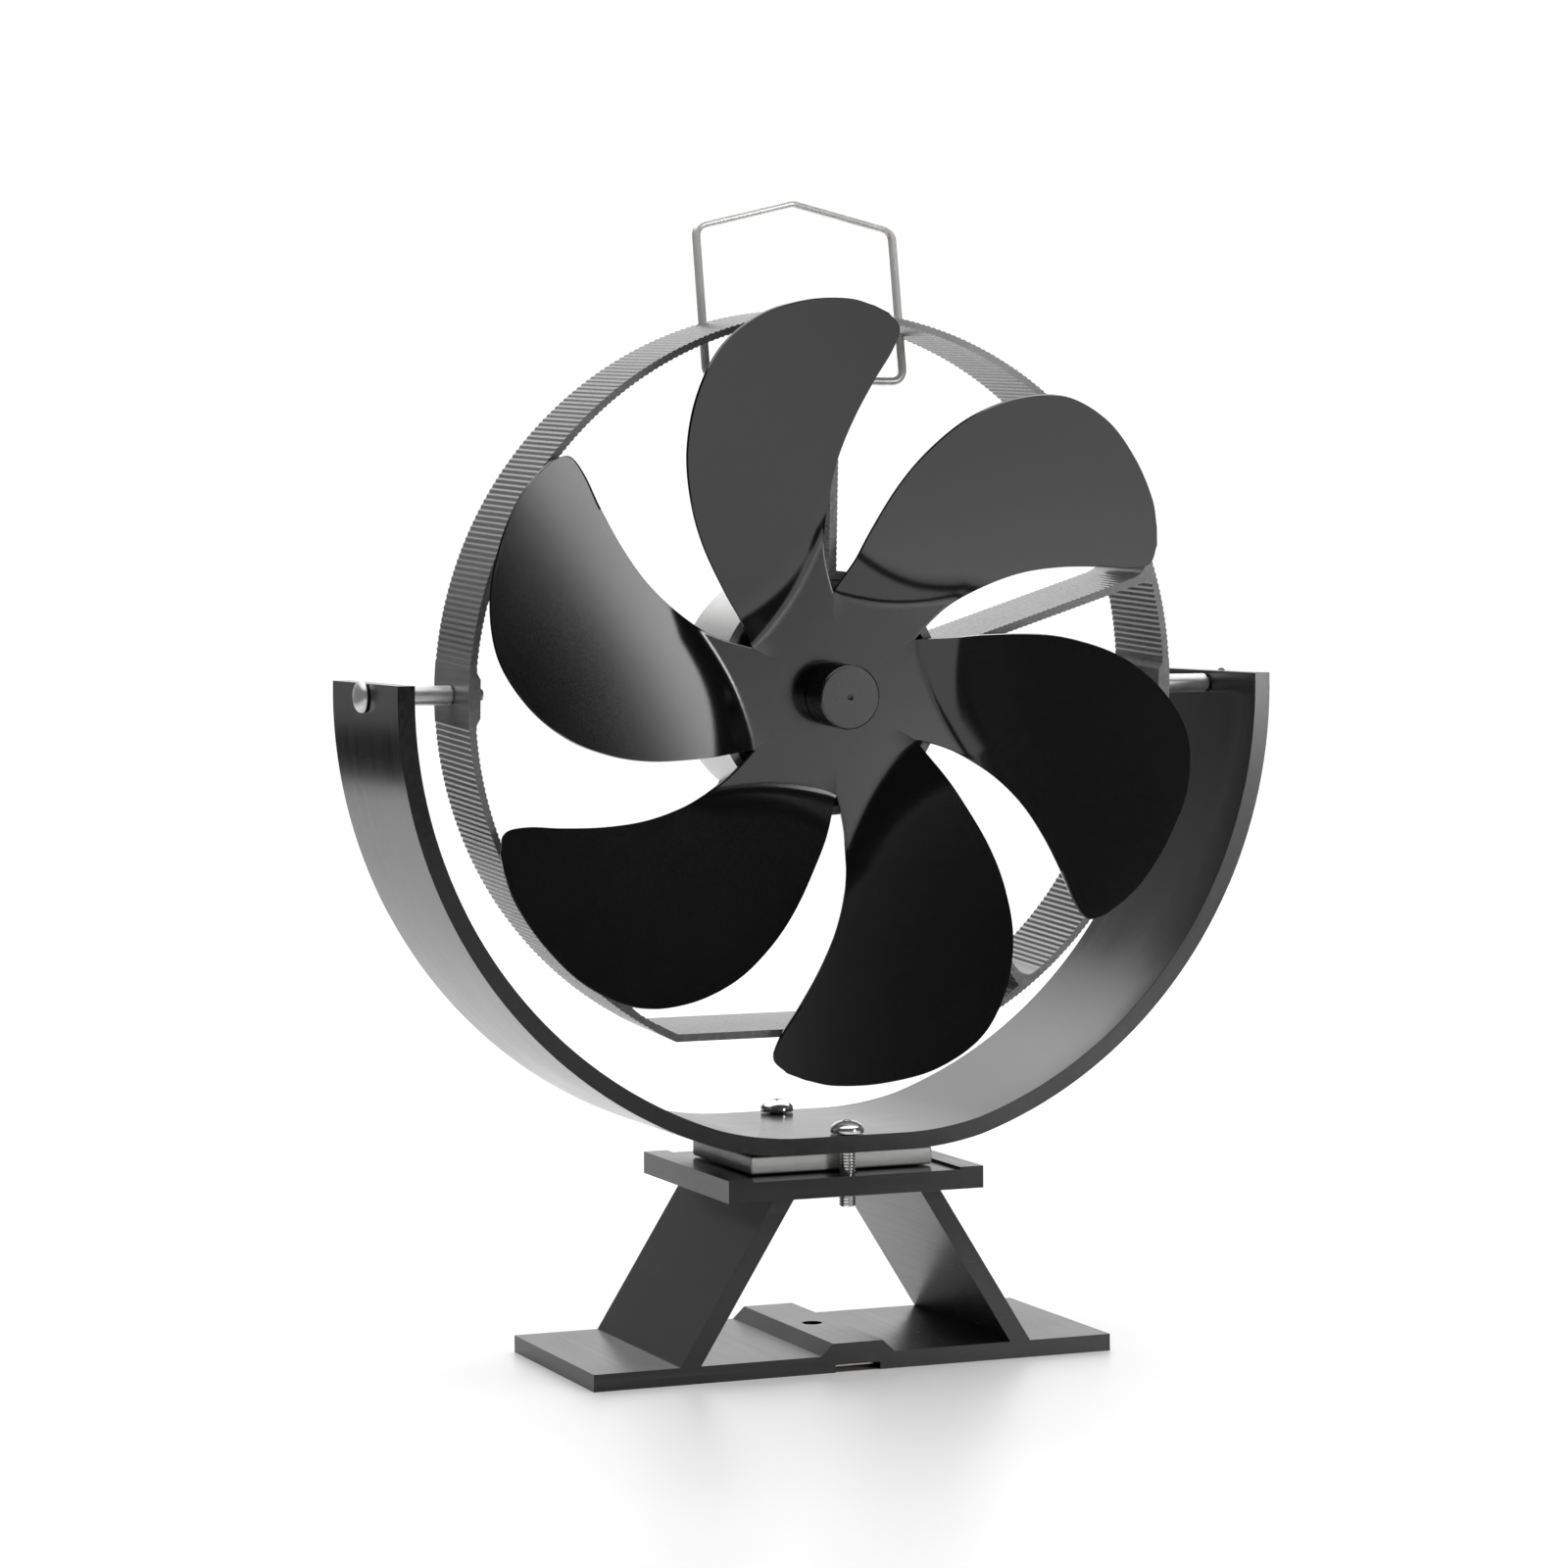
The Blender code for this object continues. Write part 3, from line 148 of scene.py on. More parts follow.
class Finish:
    """A material that is put together node by node, its patterns laid out in the piece's own space."""

    def __init__(self, name, roughness, metallic=0.0, ior=1.5):
        self.material = bpy.data.materials.new(name)
        self.material.use_nodes = True
        self.nodes = self.material.node_tree.nodes
        self.links = self.material.node_tree.links
        self.shader = self.nodes["Principled BSDF"]
        self.shader.inputs["Metallic"].default_value = metallic
        self.shader.inputs["Roughness"].default_value = roughness
        self.shader.inputs["IOR"].default_value = ior
        self.place = self.nodes.new("ShaderNodeTexCoord")

    def noise(self, stretch, detail=4.0, distort=0.0):
        """Noise with so many waves to the metre along each axis."""
        mapping = self.nodes.new("ShaderNodeMapping")
        mapping.inputs["Scale"].default_value = stretch
        self.links.new(self.place.outputs["Object"], mapping.inputs["Vector"])
        noise = self.nodes.new("ShaderNodeTexNoise")
        noise.inputs["Scale"].default_value = 1.0
        noise.inputs["Detail"].default_value = detail
        noise.inputs["Roughness"].default_value = 0.55
        noise.inputs["Distortion"].default_value = distort
        self.links.new(mapping.outputs["Vector"], noise.inputs["Vector"])
        return noise.outputs["Fac"]

    def range(self, value, low, high, start=0.3, end=0.7):
        """A pattern that runs from start to end, made to run from low to high."""
        scaled = self.nodes.new("ShaderNodeMapRange")
        scaled.inputs["From Min"].default_value = start
        scaled.inputs["From Max"].default_value = end
        scaled.inputs["To Min"].default_value = low
        scaled.inputs["To Max"].default_value = high
        self.links.new(value, scaled.inputs["Value"])
        return scaled.outputs["Result"]

    def shades(self, pattern, dark, light):
        """The colour runs from dark to light with the pattern."""
        mixed = self.nodes.new("ShaderNodeMix")
        mixed.data_type = "RGBA"
        self.links.new(self.range(pattern, 0, 1), mixed.inputs[0])
        mixed.inputs[6].default_value = (*dark, 1)
        mixed.inputs[7].default_value = (*light, 1)
        self.links.new(mixed.outputs[2], self.shader.inputs["Base Color"])

    def math(self, kind, first, second=0.0):
        """A sum of two patterns, or of a pattern and a number."""
        sums = self.nodes.new("ShaderNodeMath")
        sums.operation = kind
        for value, socket in ((first, sums.inputs[0]), (second, sums.inputs[1])):
            if isinstance(value, (int, float)):
                socket.default_value = value
            else:
                self.links.new(value, socket)
        return sums.outputs["Value"]

    def facing(self, axis):
        """How far the surface faces along one of the piece's own axes, whichever way."""
        parts = self.nodes.new("ShaderNodeSeparateXYZ")
        self.links.new(self.place.outputs["Normal"], parts.inputs["Vector"])
        return self.math("ABSOLUTE", parts.outputs[axis])

    def rough(self, value):
        """The pattern becomes the roughness."""
        self.links.new(value, self.shader.inputs["Roughness"])

    def bump(self, height, depth):
        """The pattern stands out of the surface by the depth, in metres."""
        bump = self.nodes.new("ShaderNodeBump")
        bump.inputs["Strength"].default_value = 1.0
        bump.inputs["Distance"].default_value = depth
        self.links.new(height, bump.inputs["Height"])
        self.links.new(bump.outputs["Normal"], self.shader.inputs["Normal"])


def anodised(name, along, across, roughness, dark=ANODISED_BLACK, light=ANODISED_PALE):
    """Black anodised aluminium, with the lines of its making along it and saw marks on its sawn ends."""
    finish = Finish(name, roughness)
    lines = finish.noise(along, detail=6)
    saw = finish.noise(across, detail=5)
    sawn = finish.range(finish.facing("Y"), 0, 1, 0.6, 0.9)
    marks = finish.math(
        "ADD", finish.math("MULTIPLY", lines, finish.math("SUBTRACT", 1.0, sawn)),
        finish.math("MULTIPLY", saw, sawn),
    )
    clouds = finish.noise((30, 30, 30), detail=3)
    finish.shades(marks, dark, light)
    finish.rough(finish.math(
        "ADD", finish.range(marks, roughness - 0.02, roughness + 0.02), finish.range(clouds, -0.03, 0.03),
    ))
    finish.bump(marks, STREAK_DEPTH)
    return finish.material


stand = break_edges(copy_of_node("stand_base", "stand"), STAND_EDGE)
extruded_black = anodised("extruded_black", (900, 25, 900), (25, 400, 1500), 0.24)
settle(stand, "stand", extruded_black, "stand_base")


# ---- Bimetal strip and its rivet ----
# A strip of two metals in the channel under the base, held by one steel rivet. Hot, it bows down and
# lifts the base off a stove that is too hot for the motor.
strip = break_edges(copy_of_node("bimetal_strip", "bimetal"), 0.00008)
rolled = Finish("rolled_bimetal", 0.35, 1.0)
rolled_lines = rolled.noise((800, 20, 800))
rolled.shades(rolled_lines, (0.42, 0.39, 0.34), (0.55, 0.51, 0.45))
rolled.rough(rolled.range(rolled_lines, 0.28, 0.42))
settle(strip, "stand", rolled.material, "bimetal_strip")

rivet = break_edges(copy_of_node("bimetal_rivet", "rivet"), 0.00015)
bright_steel = Finish("bright_steel", 0.12, 1.0)
steel_wipe = bright_steel.noise((700, 700, 700), detail=5)
bright_steel.shades(steel_wipe, (0.62, 0.62, 0.61), (0.78, 0.78, 0.77))
bright_steel.rough(bright_steel.range(steel_wipe, 0.08, 0.2))
settle(rivet, "stand", bright_steel.material, "bimetal_rivet")


# ---- Heat block ----
# A bare milled aluminium plate with a shallow pocket for the module. The clamp screws press it onto
# the stand.
block = break_edges(copy_of_node("heat_block", "block"), 0.0005, 1)
milled = Finish("milled_aluminium", 0.5, 0.6)
milled_lines = milled.noise((1400, 60, 1400), detail=5)
milled_cloud = milled.noise((60, 60, 60), detail=4)
milled.shades(milled_cloud, (0.76, 0.76, 0.75), (0.86, 0.86, 0.85))
milled.rough(milled.range(milled_lines, 0.5, 0.62))
milled.bump(milled_lines, 0.00001)
settle(block, "stand", milled.material, "heat_block")


# ---- Thermoelectric module ----
# Two white ceramic plates with rows of pellets between them, in the block's pocket. It makes the motor's
# current from the warmth that passes through it.
ceramic = Finish("module_ceramic", 0.5)
ceramic_grain = ceramic.noise((900, 900, 900), detail=5)
ceramic.shades(ceramic_grain, (0.74, 0.74, 0.71), (0.86, 0.86, 0.84))
ceramic.bump(ceramic_grain, 0.000008)
pellets = Finish("module_pellets", 0.4, 0.8)
pellet_grain = pellets.noise((1500, 1500, 1500), detail=3)
pellets.shades(pellet_grain, (0.12, 0.12, 0.13), (0.24, 0.24, 0.26))
for node, finish in (
    ("module_hot_plate", ceramic), ("module_cold_plate", ceramic), ("module_pellets", pellets),
):
    coat(frame["nodes"][node], finish.material)


# ---- Cradle ----
# One thick strip of aluminium, bent round the ring and flat where it lies on the module, whose cold side
# it is. It is brushed along its length before it is anodised.
cradle = break_edges(copy_of_node("cradle", "cradle_strip"), 0.0003, angle=40)
bent_black = anodised("brushed_black", (4, 800, 4), (900, 900, 900), 0.2)
settle(cradle, "stand", bent_black, "cradle")


# ---- Clamp screws ----
# Two bright M4 screws with domed heads and a cross recess, down through the cradle and past the block
# into the stand's top plate. They pull the cradle, the module and the block together.
CLAMP_RADIUS = 0.00195
CLAMP_PITCH = 0.0007
HEAD_RADIUS = 0.004
HEAD_HEIGHT = 0.0029
UNDER_HEAD = 0.0002
RECESS_WIDTH = 0.0009
RECESS_LENGTH = 0.0042
RECESS_DEPTH = 0.0013
SHARP_ANGLE = math.radians(35)


def close_up(piece, gap=0.000001):
    """Merges points that lie together and turns every face outwards."""
    take_up(piece)
    bpy.ops.object.mode_set(mode="EDIT")
    bpy.ops.mesh.select_all(action="SELECT")
    bpy.ops.mesh.remove_doubles(threshold=gap)
    bpy.ops.mesh.normals_make_consistent(inside=False)
    bpy.ops.object.mode_set(mode="OBJECT")


def shade_round(piece):
    """Round faces are shaded smooth, and sharp edges stay sharp."""
    piece.data.shade_smooth()
    piece.data.set_sharp_from_angle(angle=SHARP_ANGLE)


def turned(name, profile, steps=48, closed=False):
    """A profile of (radius, height) pairs, drawn out from a circle ring by ring as on a lathe."""
    start_afresh()
    radius, height = profile[0]
    bpy.ops.mesh.primitive_circle_add(vertices=steps, radius=radius, location=(0, 0, height))
    piece = bpy.context.object
    piece.name = piece.data.name = name
    bpy.ops.object.transform_apply(location=True, rotation=False, scale=False)
    bpy.ops.object.mode_set(mode="EDIT")
    bpy.ops.mesh.select_all(action="SELECT")
    if not closed:
        bpy.ops.mesh.edge_face_add()
        bpy.ops.mesh.select_all(action="SELECT")
    draw_out = bpy.ops.mesh.extrude_edges_move if closed else bpy.ops.mesh.extrude_region_move
    for wider, higher in profile[1:] + (profile[:1] if closed else []):
        draw_out(TRANSFORM_OT_translate={"value": (0, 0, higher - height)})
        share = wider / radius
        bpy.ops.transform.resize(value=(share, share, 1), center_override=(0, 0, higher))
        radius, height = wider, higher
    close_up(piece)
    shade_round(piece)
    return piece


def dome(radius, bottom, height, steps=8):
    """A domed head from its rim up, with a small flat on its crown."""
    rim = height * 0.22
    points = [(radius * 0.97, bottom), (radius, bottom + rim * 0.4)]
    for step in range(1, steps):
        angle = math.radians(86 * step / (steps - 1))
        points.append((radius * math.cos(angle), bottom + rim + (height - rim) * math.sin(angle)))
    return points


def thread(radius, pitch, bottom, top):
    """Ridges of a screw thread, from the screw's end to under its head."""
    root = radius - pitch * 0.55
    points = [(root, bottom)]
    for turn in range(int((top - bottom) / pitch)):
        at = bottom + pitch * turn
        points += [(root, at + pitch * 0.2), (radius, at + pitch * 0.4), (radius, at + pitch * 0.8)]
    return points + [(root, top)]


def cut_away(piece, tool):
    """Cuts one shape out of another and throws the tool away."""
    cut = piece.modifiers.new("Cut", "BOOLEAN")
    cut.operation = "DIFFERENCE"
    cut.object = tool
    cut.solver = "EXACT"
    apply_modifiers(piece)
    bpy.data.objects.remove(tool, do_unlink=True)


def cross_recess(piece, width, length, bottom, top):
    """Two crossed slots that narrow downwards, as a driver's tip leaves them."""
    for turn in (0, 90):
        start_afresh()
        bpy.ops.mesh.primitive_cube_add(size=1, location=(0, 0, (bottom + top) / 2),
                                        rotation=(0, 0, math.radians(turn)),
                                        scale=(length, width, top - bottom))
        tool = bpy.context.object
        bpy.ops.object.mode_set(mode="EDIT")
        bpy.ops.mesh.select_all(action="DESELECT")
        bpy.ops.object.mode_set(mode="OBJECT")
        for face in tool.data.polygons:
            face.select = face.normal.z < -0.9
        bpy.ops.object.mode_set(mode="EDIT")
        bpy.ops.transform.resize(value=(0.45, 0.6, 1), center_override=(0, 0, bottom))
        bpy.ops.object.mode_set(mode="OBJECT")
        bpy.ops.object.transform_apply(location=True, rotation=True, scale=True)
        cut_away(piece, tool)


clamp_low, clamp_high = (corner.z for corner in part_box("clamp_screw_front"))
clamp_seat = clamp_high - HEAD_HEIGHT
clamp_screw = turned(
    "clamp_screw_0",
    thread(CLAMP_RADIUS, CLAMP_PITCH, clamp_low, clamp_seat - UNDER_HEAD)
    + dome(HEAD_RADIUS, clamp_seat, HEAD_HEIGHT),
)
cross_recess(clamp_screw, RECESS_WIDTH, RECESS_LENGTH, clamp_high - RECESS_DEPTH, clamp_high + 0.001)
chrome = Finish("chromed_steel", 0.1, 0.85)
chrome_wear = chrome.noise((1600, 1600, 1600), detail=5)
chrome.shades(chrome_wear, (0.6, 0.6, 0.595), (0.76, 0.76, 0.75))
chrome.rough(chrome.range(chrome_wear, 0.06, 0.17))
chrome.bump(chrome_wear, 0.000004)
for word, turn in (("front", 25), ("back", 70)):
    screw = another(clamp_screw, "clamp_screw_m4_" + word)
    low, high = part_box("clamp_screw_" + word)
    screw.data.transform(Matrix.Translation((0, (low.y + high.y) / 2, 0))
                         @ Matrix.Rotation(math.radians(turn), 4, "Z"))
    settle(screw, "stand", chrome.material, "clamp_screw_" + word)
bpy.data.objects.remove(clamp_screw, do_unlink=True)


# ---- Pivots ----
# On each side a zinc-plated M3 screw goes through the cradle's arm, a spacer tube and the ring, and ends
# in a hexagon nut inside the ring. They stay with the cradle, and the ring turns on them.
joints = {joint["name"]: joint for joint in frame["joints"]}
pivot = Vector(joints["head_tilt"]["pos_m"])
pivot_low, pivot_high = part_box("pivot_screw_right")
spacer_low, spacer_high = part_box("pivot_spacer_right")
PIVOT_RADIUS = 0.00145
PIVOT_PITCH = 0.0005
PIVOT_HEAD_RADIUS = 0.0037
PIVOT_HEAD_HEIGHT = 0.0022
SPACER_BORE = 0.0018
SPACER_RADIUS = 0.00225
PIVOT_STEPS = 32
pivot_seat = pivot_high.x - PIVOT_HEAD_HEIGHT

pivot_screw = turned(
    "pivot_bolt_0",
    thread(PIVOT_RADIUS, PIVOT_PITCH, pivot_low.x, pivot_seat - UNDER_HEAD)
    + dome(PIVOT_HEAD_RADIUS, pivot_seat, PIVOT_HEAD_HEIGHT),
    PIVOT_STEPS,
)
spacer = turned(
    "spacer_tube_0",
    [(SPACER_BORE, spacer_low.x), (SPACER_RADIUS, spacer_low.x),
     (SPACER_RADIUS, spacer_high.x), (SPACER_BORE, spacer_high.x)],
    PIVOT_STEPS, closed=True,
)
break_edges(spacer, 0.0001)
zinc_satin = Finish("satin_zinc", 0.35, 0.6)
zinc_lines = zinc_satin.noise((300, 900, 900), detail=4)
zinc_satin.shades(zinc_lines, (0.56, 0.56, 0.56), (0.7, 0.7, 0.69))
zinc_satin.rough(zinc_satin.range(zinc_lines, 0.28, 0.4))
for name, side in (("left", -1), ("right", 1)):
    lie_down = Matrix.Translation(pivot) @ Matrix.Rotation(side * math.radians(90), 4, "Y")
    for source, node, slot in (
        (pivot_screw, "pivot_screw_", "screw_steel"), (spacer, "pivot_spacer_", "spacer_steel"),
    ):
        piece = another(source, source.name[:-1] + name)
        piece.data.transform(lie_down)
        settle(piece, "stand", zinc_satin.material, node + name)
    piece = break_edges(copy_of_node("pivot_nut_" + name, "hexagon_nut_" + name), 0.00025)
    settle(piece, "stand", zinc_satin.material, "pivot_nut_" + name)
for source in (pivot_screw, spacer):
    bpy.data.objects.remove(source, do_unlink=True)


# ---- Ring frame ----
# A slice of one large extrusion: the round ring with its fine grooves, five spokes and the motor's tube.
# It has two smooth bosses for the pivot screws and a flat at the bottom.
forward = Vector(joints["fan_spin"]["axis"])
tilt = math.atan2(-forward.z, -forward.y)
FAN = Matrix.Translation(pivot) @ Matrix.Rotation(tilt + math.radians(90), 4, "X")
RING_RADIUS = 0.0885
RING_INNER = 0.0867
RING_DEPTH = 0.025
RING_FLAT = 0.0803
RING_INNER_FLAT = 0.0785
BOSS_FACE = 0.0856
BOSS_FLAT = 0.0045
BOSS_FOOT = 0.006
SPOKES = 5
FIRST_SPOKE = 18
SPOKE_HALF = 0.001
SPOKE_FILLET = 0.004
FILLET_STEPS = 8
SPOKE_PITCH = 0.0013
SPOKE_GROOVE = 0.00014
SPOKE_POINTS = 6
TUBE_RADIUS = 0.0285
TUBE_STEPS = 24
TUBE_BORE = 0.0253
BORE_STEPS = 96
COUNTERBORE = 0.0265
COUNTERBORE_DEPTH = 0.004
PIVOT_HOLE = 0.0018
WIRE_HOLE = 0.00135
HOLE_DEPTH = 0.008
HOLE_PLACE = 0.0875
GROOVE_PITCH = 0.9
GROOVE_DEPTH = 0.0002
GROOVE_POINTS = 8
# The grooved stretches, in degrees: the bosses, the flat and the feet of the spokes stay smooth.
OUTER_ARCS = ((4.5, 175.5), (184.5, 241.2), (298.8, 355.5))
INNER_ARCS = (
    (4.5, 17.1), (21.6, 88.2), (93.6, 160.2), (165.6, 175.5),
    (184.5, 232.2), (237.6, 241.2), (298.8, 304.2), (309.6, 355.5),
)
HANDLE_BACK = 0.0085
HALF_WIDTH = 0.025


def polar(radius, degrees):
    """A point on the fan's face, seen from the front."""
    return Vector((math.cos(math.radians(degrees)), math.sin(math.radians(degrees)))) * radius


def groove(degrees, arcs):
    """How deep the grooves are at an angle."""
    middle = (math.floor(degrees / GROOVE_PITCH) + 0.5) * GROOVE_PITCH % 360
    if not any(first < middle < last for first, last in arcs):
        return 0.0
    return GROOVE_DEPTH * (1 - math.cos(math.tau * degrees / GROOVE_PITCH)) / 2


def round_angles(first, last):
    """The angles of the grooves' points between two angles."""
    step = GROOVE_PITCH / GROOVE_POINTS
    return [count * step for count in range(math.ceil(first / step), math.floor(last / step) + 1)]


def inner_face(first, last):
    """The ring's inside between two angles, with its grooves, the flat and the bosses."""
    points = []
    for degrees in round_angles(first, last):
        down = -math.sin(math.radians(degrees))
        across = abs(math.sin(math.radians(degrees)) * RING_INNER)
        if across < BOSS_FOOT:
            share = min(1, (BOSS_FOOT - across) / (BOSS_FOOT - BOSS_FLAT))
            radius = RING_INNER + (BOSS_FACE / abs(math.cos(math.radians(degrees))) - RING_INNER) * share
        elif down * RING_INNER > RING_INNER_FLAT:
            radius = RING_INNER_FLAT / down
        else:
            radius = RING_INNER + groove(degrees, INNER_ARCS)
        points.append(polar(radius, degrees))
    return points


def spoke_side(start, end, inward):
    """One side of a spoke, with fine grooves along the fan's axis."""
    steps = int((end - start).length / SPOKE_PITCH) * SPOKE_POINTS
    normal = Vector((start.y - end.y, end.x - start.x)).normalized() * inward
    points = []
    for step in range(steps + 1):
        depth = SPOKE_GROOVE * (1 - math.cos(math.tau * step / SPOKE_POINTS)) / 2
        points.append(start.lerp(end, step / steps) + normal * depth)
    return points


def window(number):
    """The opening between two spokes: the ring's inside, one spoke, the tube and the other spoke."""
    first, last = (FIRST_SPOKE + 360 / SPOKES * at for at in (number, number + 1))
    at_ring = math.degrees(math.asin(SPOKE_HALF / RING_INNER))
    at_tube = math.degrees(math.asin(SPOKE_HALF / TUBE_RADIUS))
    corner, foot = polar(RING_INNER, first + at_ring), polar(TUBE_RADIUS, first + at_tube)
    up_spoke = corner + (foot - corner).normalized() * SPOKE_FILLET
    past = math.degrees(SPOKE_FILLET / RING_INNER)
    round_ring = polar(RING_INNER, first + at_ring + past)
    fillet = []
    for step in range(1, FILLET_STEPS):
        share = step / FILLET_STEPS
        fillet.append(up_spoke.lerp(corner, share).lerp(corner.lerp(round_ring, share), share))
    rim = inner_face(first + at_ring + past, last - at_ring)
    far_corner, far_foot = polar(RING_INNER, last - at_ring), polar(TUBE_RADIUS, last - at_tube)
    turn = last - first - 2 * at_tube
    tube = [
        polar(TUBE_RADIUS, last - at_tube - turn * step / TUBE_STEPS) for step in range(1, TUBE_STEPS)
    ]
    return (spoke_side(foot, up_spoke, -1) + fillet + rim[:-1]
            + spoke_side(far_corner, far_foot, -1) + tube)


def join_up(parts, keeper):
    """Makes one piece of several. The keeper takes the others in."""
    start_afresh()
    for part in parts:
        part.select_set(True)
    bpy.context.view_layer.objects.active = keeper
    bpy.ops.object.join()
    return keeper


drop = math.degrees(math.asin(RING_FLAT / RING_RADIUS))
rim = [
    polar(RING_RADIUS - groove(degrees, OUTER_ARCS), degrees)
    for degrees in round_angles(-drop, 180 + drop)
]
bore = [polar(TUBE_BORE, 360 / BORE_STEPS * step) for step in range(BORE_STEPS)]
loops = []
for outline in (rim, bore, *(window(number) for number in range(SPOKES))):
    start_afresh()
    bpy.ops.mesh.primitive_circle_add(vertices=len(outline), radius=RING_RADIUS)
    loop = bpy.context.object
    for vert, point in zip(loop.data.vertices, outline):
        vert.co = (*point, -RING_DEPTH / 2)
    loops.append(loop)
ring = join_up(loops, loops[-1])
ring.name = ring.data.name = "ring"
bpy.ops.object.mode_set(mode="EDIT")
bpy.ops.mesh.select_all(action="SELECT")
bpy.ops.mesh.fill(use_beauty=False)
bpy.ops.mesh.select_all(action="SELECT")
bpy.ops.mesh.extrude_region_move(TRANSFORM_OT_translate={"value": (0, 0, RING_DEPTH)})
bpy.ops.mesh.select_all(action="SELECT")
bpy.ops.mesh.normals_make_consistent(inside=False)
bpy.ops.object.mode_set(mode="OBJECT")
hole = math.sqrt(RING_RADIUS**2 - HALF_WIDTH**2)
drills = []
for radius, depth, sides, place, turn in (
    (COUNTERBORE, 2 * COUNTERBORE_DEPTH, BORE_STEPS, (0, 0, RING_DEPTH / 2), (0, 0, 0)),
    (PIVOT_HOLE, HOLE_DEPTH, 24, (HOLE_PLACE, 0, 0), (0, 90, 0)),
    (PIVOT_HOLE, HOLE_DEPTH, 24, (-HOLE_PLACE, 0, 0), (0, 90, 0)),
    (WIRE_HOLE, HOLE_DEPTH, 24, (HALF_WIDTH, hole, -HANDLE_BACK), (90, 0, 0)),
    (WIRE_HOLE, HOLE_DEPTH, 24, (-HALF_WIDTH, hole, -HANDLE_BACK), (90, 0, 0)),
):
    start_afresh()
    bpy.ops.mesh.primitive_cylinder_add(vertices=sides, radius=radius, depth=depth, location=place,
                                        rotation=[math.radians(angle) for angle in turn])
    bpy.ops.object.transform_apply(location=True, rotation=True, scale=False)
    drills.append(bpy.context.object)
cut_away(ring, join_up(drills, drills[-1]))
ring.data.transform(FAN)
shade_round(ring)
ring_black = anodised(
    "ring_black", (700, 30, 700), (700, 700, 700), 0.26, (0.12, 0.12, 0.12), (0.17, 0.17, 0.17),
)
settle(ring, "head", ring_black, "ring_frame")
turned_bare = Finish("tube_bare_turned", 0.4, 0.6)
turned_lines = turned_bare.noise((500, 2500, 500), detail=3)
turned_bare.shades(turned_lines, (0.6, 0.6, 0.6), (0.72, 0.72, 0.71))
turned_bare.rough(turned_bare.range(turned_lines, 0.34, 0.46))
ring.data.materials.append(turned_bare.material)
back_to_fan = FAN.inverted()
for face in ring.data.polygons:
    centre = back_to_fan @ face.center
    if abs(Vector(centre[:2]).length - TUBE_RADIUS) < 0.0002 and abs(centre.z) < RING_DEPTH / 2 - 0.0001:
        face.material_index = 1


# ---- Motor plate, its screws and the motor ----
# A zinc-plated disc drops into the tube's counterbore, and two small screws hold the can of the
# direct-current motor behind it. The motor's inside is kept as packed.
zinc = Finish("zinc_plated", 0.32, 1.0)
zinc_cloud = zinc.noise((250, 250, 250), detail=5, distort=0.6)
zinc.shades(zinc_cloud, (0.5, 0.51, 0.52), (0.68, 0.69, 0.7))
zinc.rough(zinc.range(zinc_cloud, 0.25, 0.42))
plastic = Finish("black_end_cap", 0.5)
plastic_grain = plastic.noise((1200, 1200, 1200), detail=3)
plastic.shades(plastic_grain, (0.012, 0.012, 0.012), (0.028, 0.028, 0.028))
plastic.bump(plastic_grain, 0.00001)
for node, name, width, slot, finish in (
    ("motor_plate", "front_plate", 0.00015, "zinc_steel", zinc),
    ("plate_screw_lower", "plate_screw_low", 0.0001, "screw_steel", chrome),
    ("plate_screw_upper", "plate_screw_high", 0.0001, "screw_steel", chrome),
    ("motor_can", "can", 0.0006, "zinc_steel", zinc),
    ("motor_end_cap", "end_cap", 0.0003, "black_plastic", plastic),
):
    settle(break_edges(copy_of_node(node, name), width, 3), "head", finish.material, node)


def plain_finish(name, dark, light, roughness, metallic, waves):
    """A fine even grain, for the pieces inside the motor."""
    finish = Finish(name, roughness, metallic)
    grain = finish.noise((waves, waves, waves), detail=4)
    finish.shades(grain, dark, light)
    finish.rough(finish.range(grain, roughness - 0.08, roughness + 0.08))
    return finish.material


ferrite = plain_finish("ferrite_magnet", (0.035, 0.035, 0.04), (0.07, 0.07, 0.075), 0.6, 0.1, 900)
carbon = plain_finish("brush_carbon", (0.02, 0.02, 0.02), (0.05, 0.05, 0.05), 0.7, 0.0, 900)
bronze = plain_finish("bush_bronze", (0.42, 0.28, 0.12), (0.6, 0.42, 0.2), 0.4, 1.0, 900)
iron = plain_finish("core_iron", (0.28, 0.28, 0.29), (0.42, 0.42, 0.43), 0.45, 1.0, 1200)
copper = plain_finish("winding_copper", (0.55, 0.25, 0.13), (0.78, 0.4, 0.24), 0.32, 1.0, 1500)
for nodes, finish in (
    (("motor_magnet_left", "motor_magnet_right"), ferrite),
    (("motor_brush_left", "motor_brush_right"), carbon),
    (("motor_bush_front", "motor_bush_rear"), bronze),
    (("motor_core",), iron),
    (("motor_winding_1", "motor_winding_2", "motor_winding_3", "motor_commutator"), copper),
    (("motor_shaft",), bright_steel.material),
):
    for node in nodes:
        coat(frame["nodes"][node], finish)


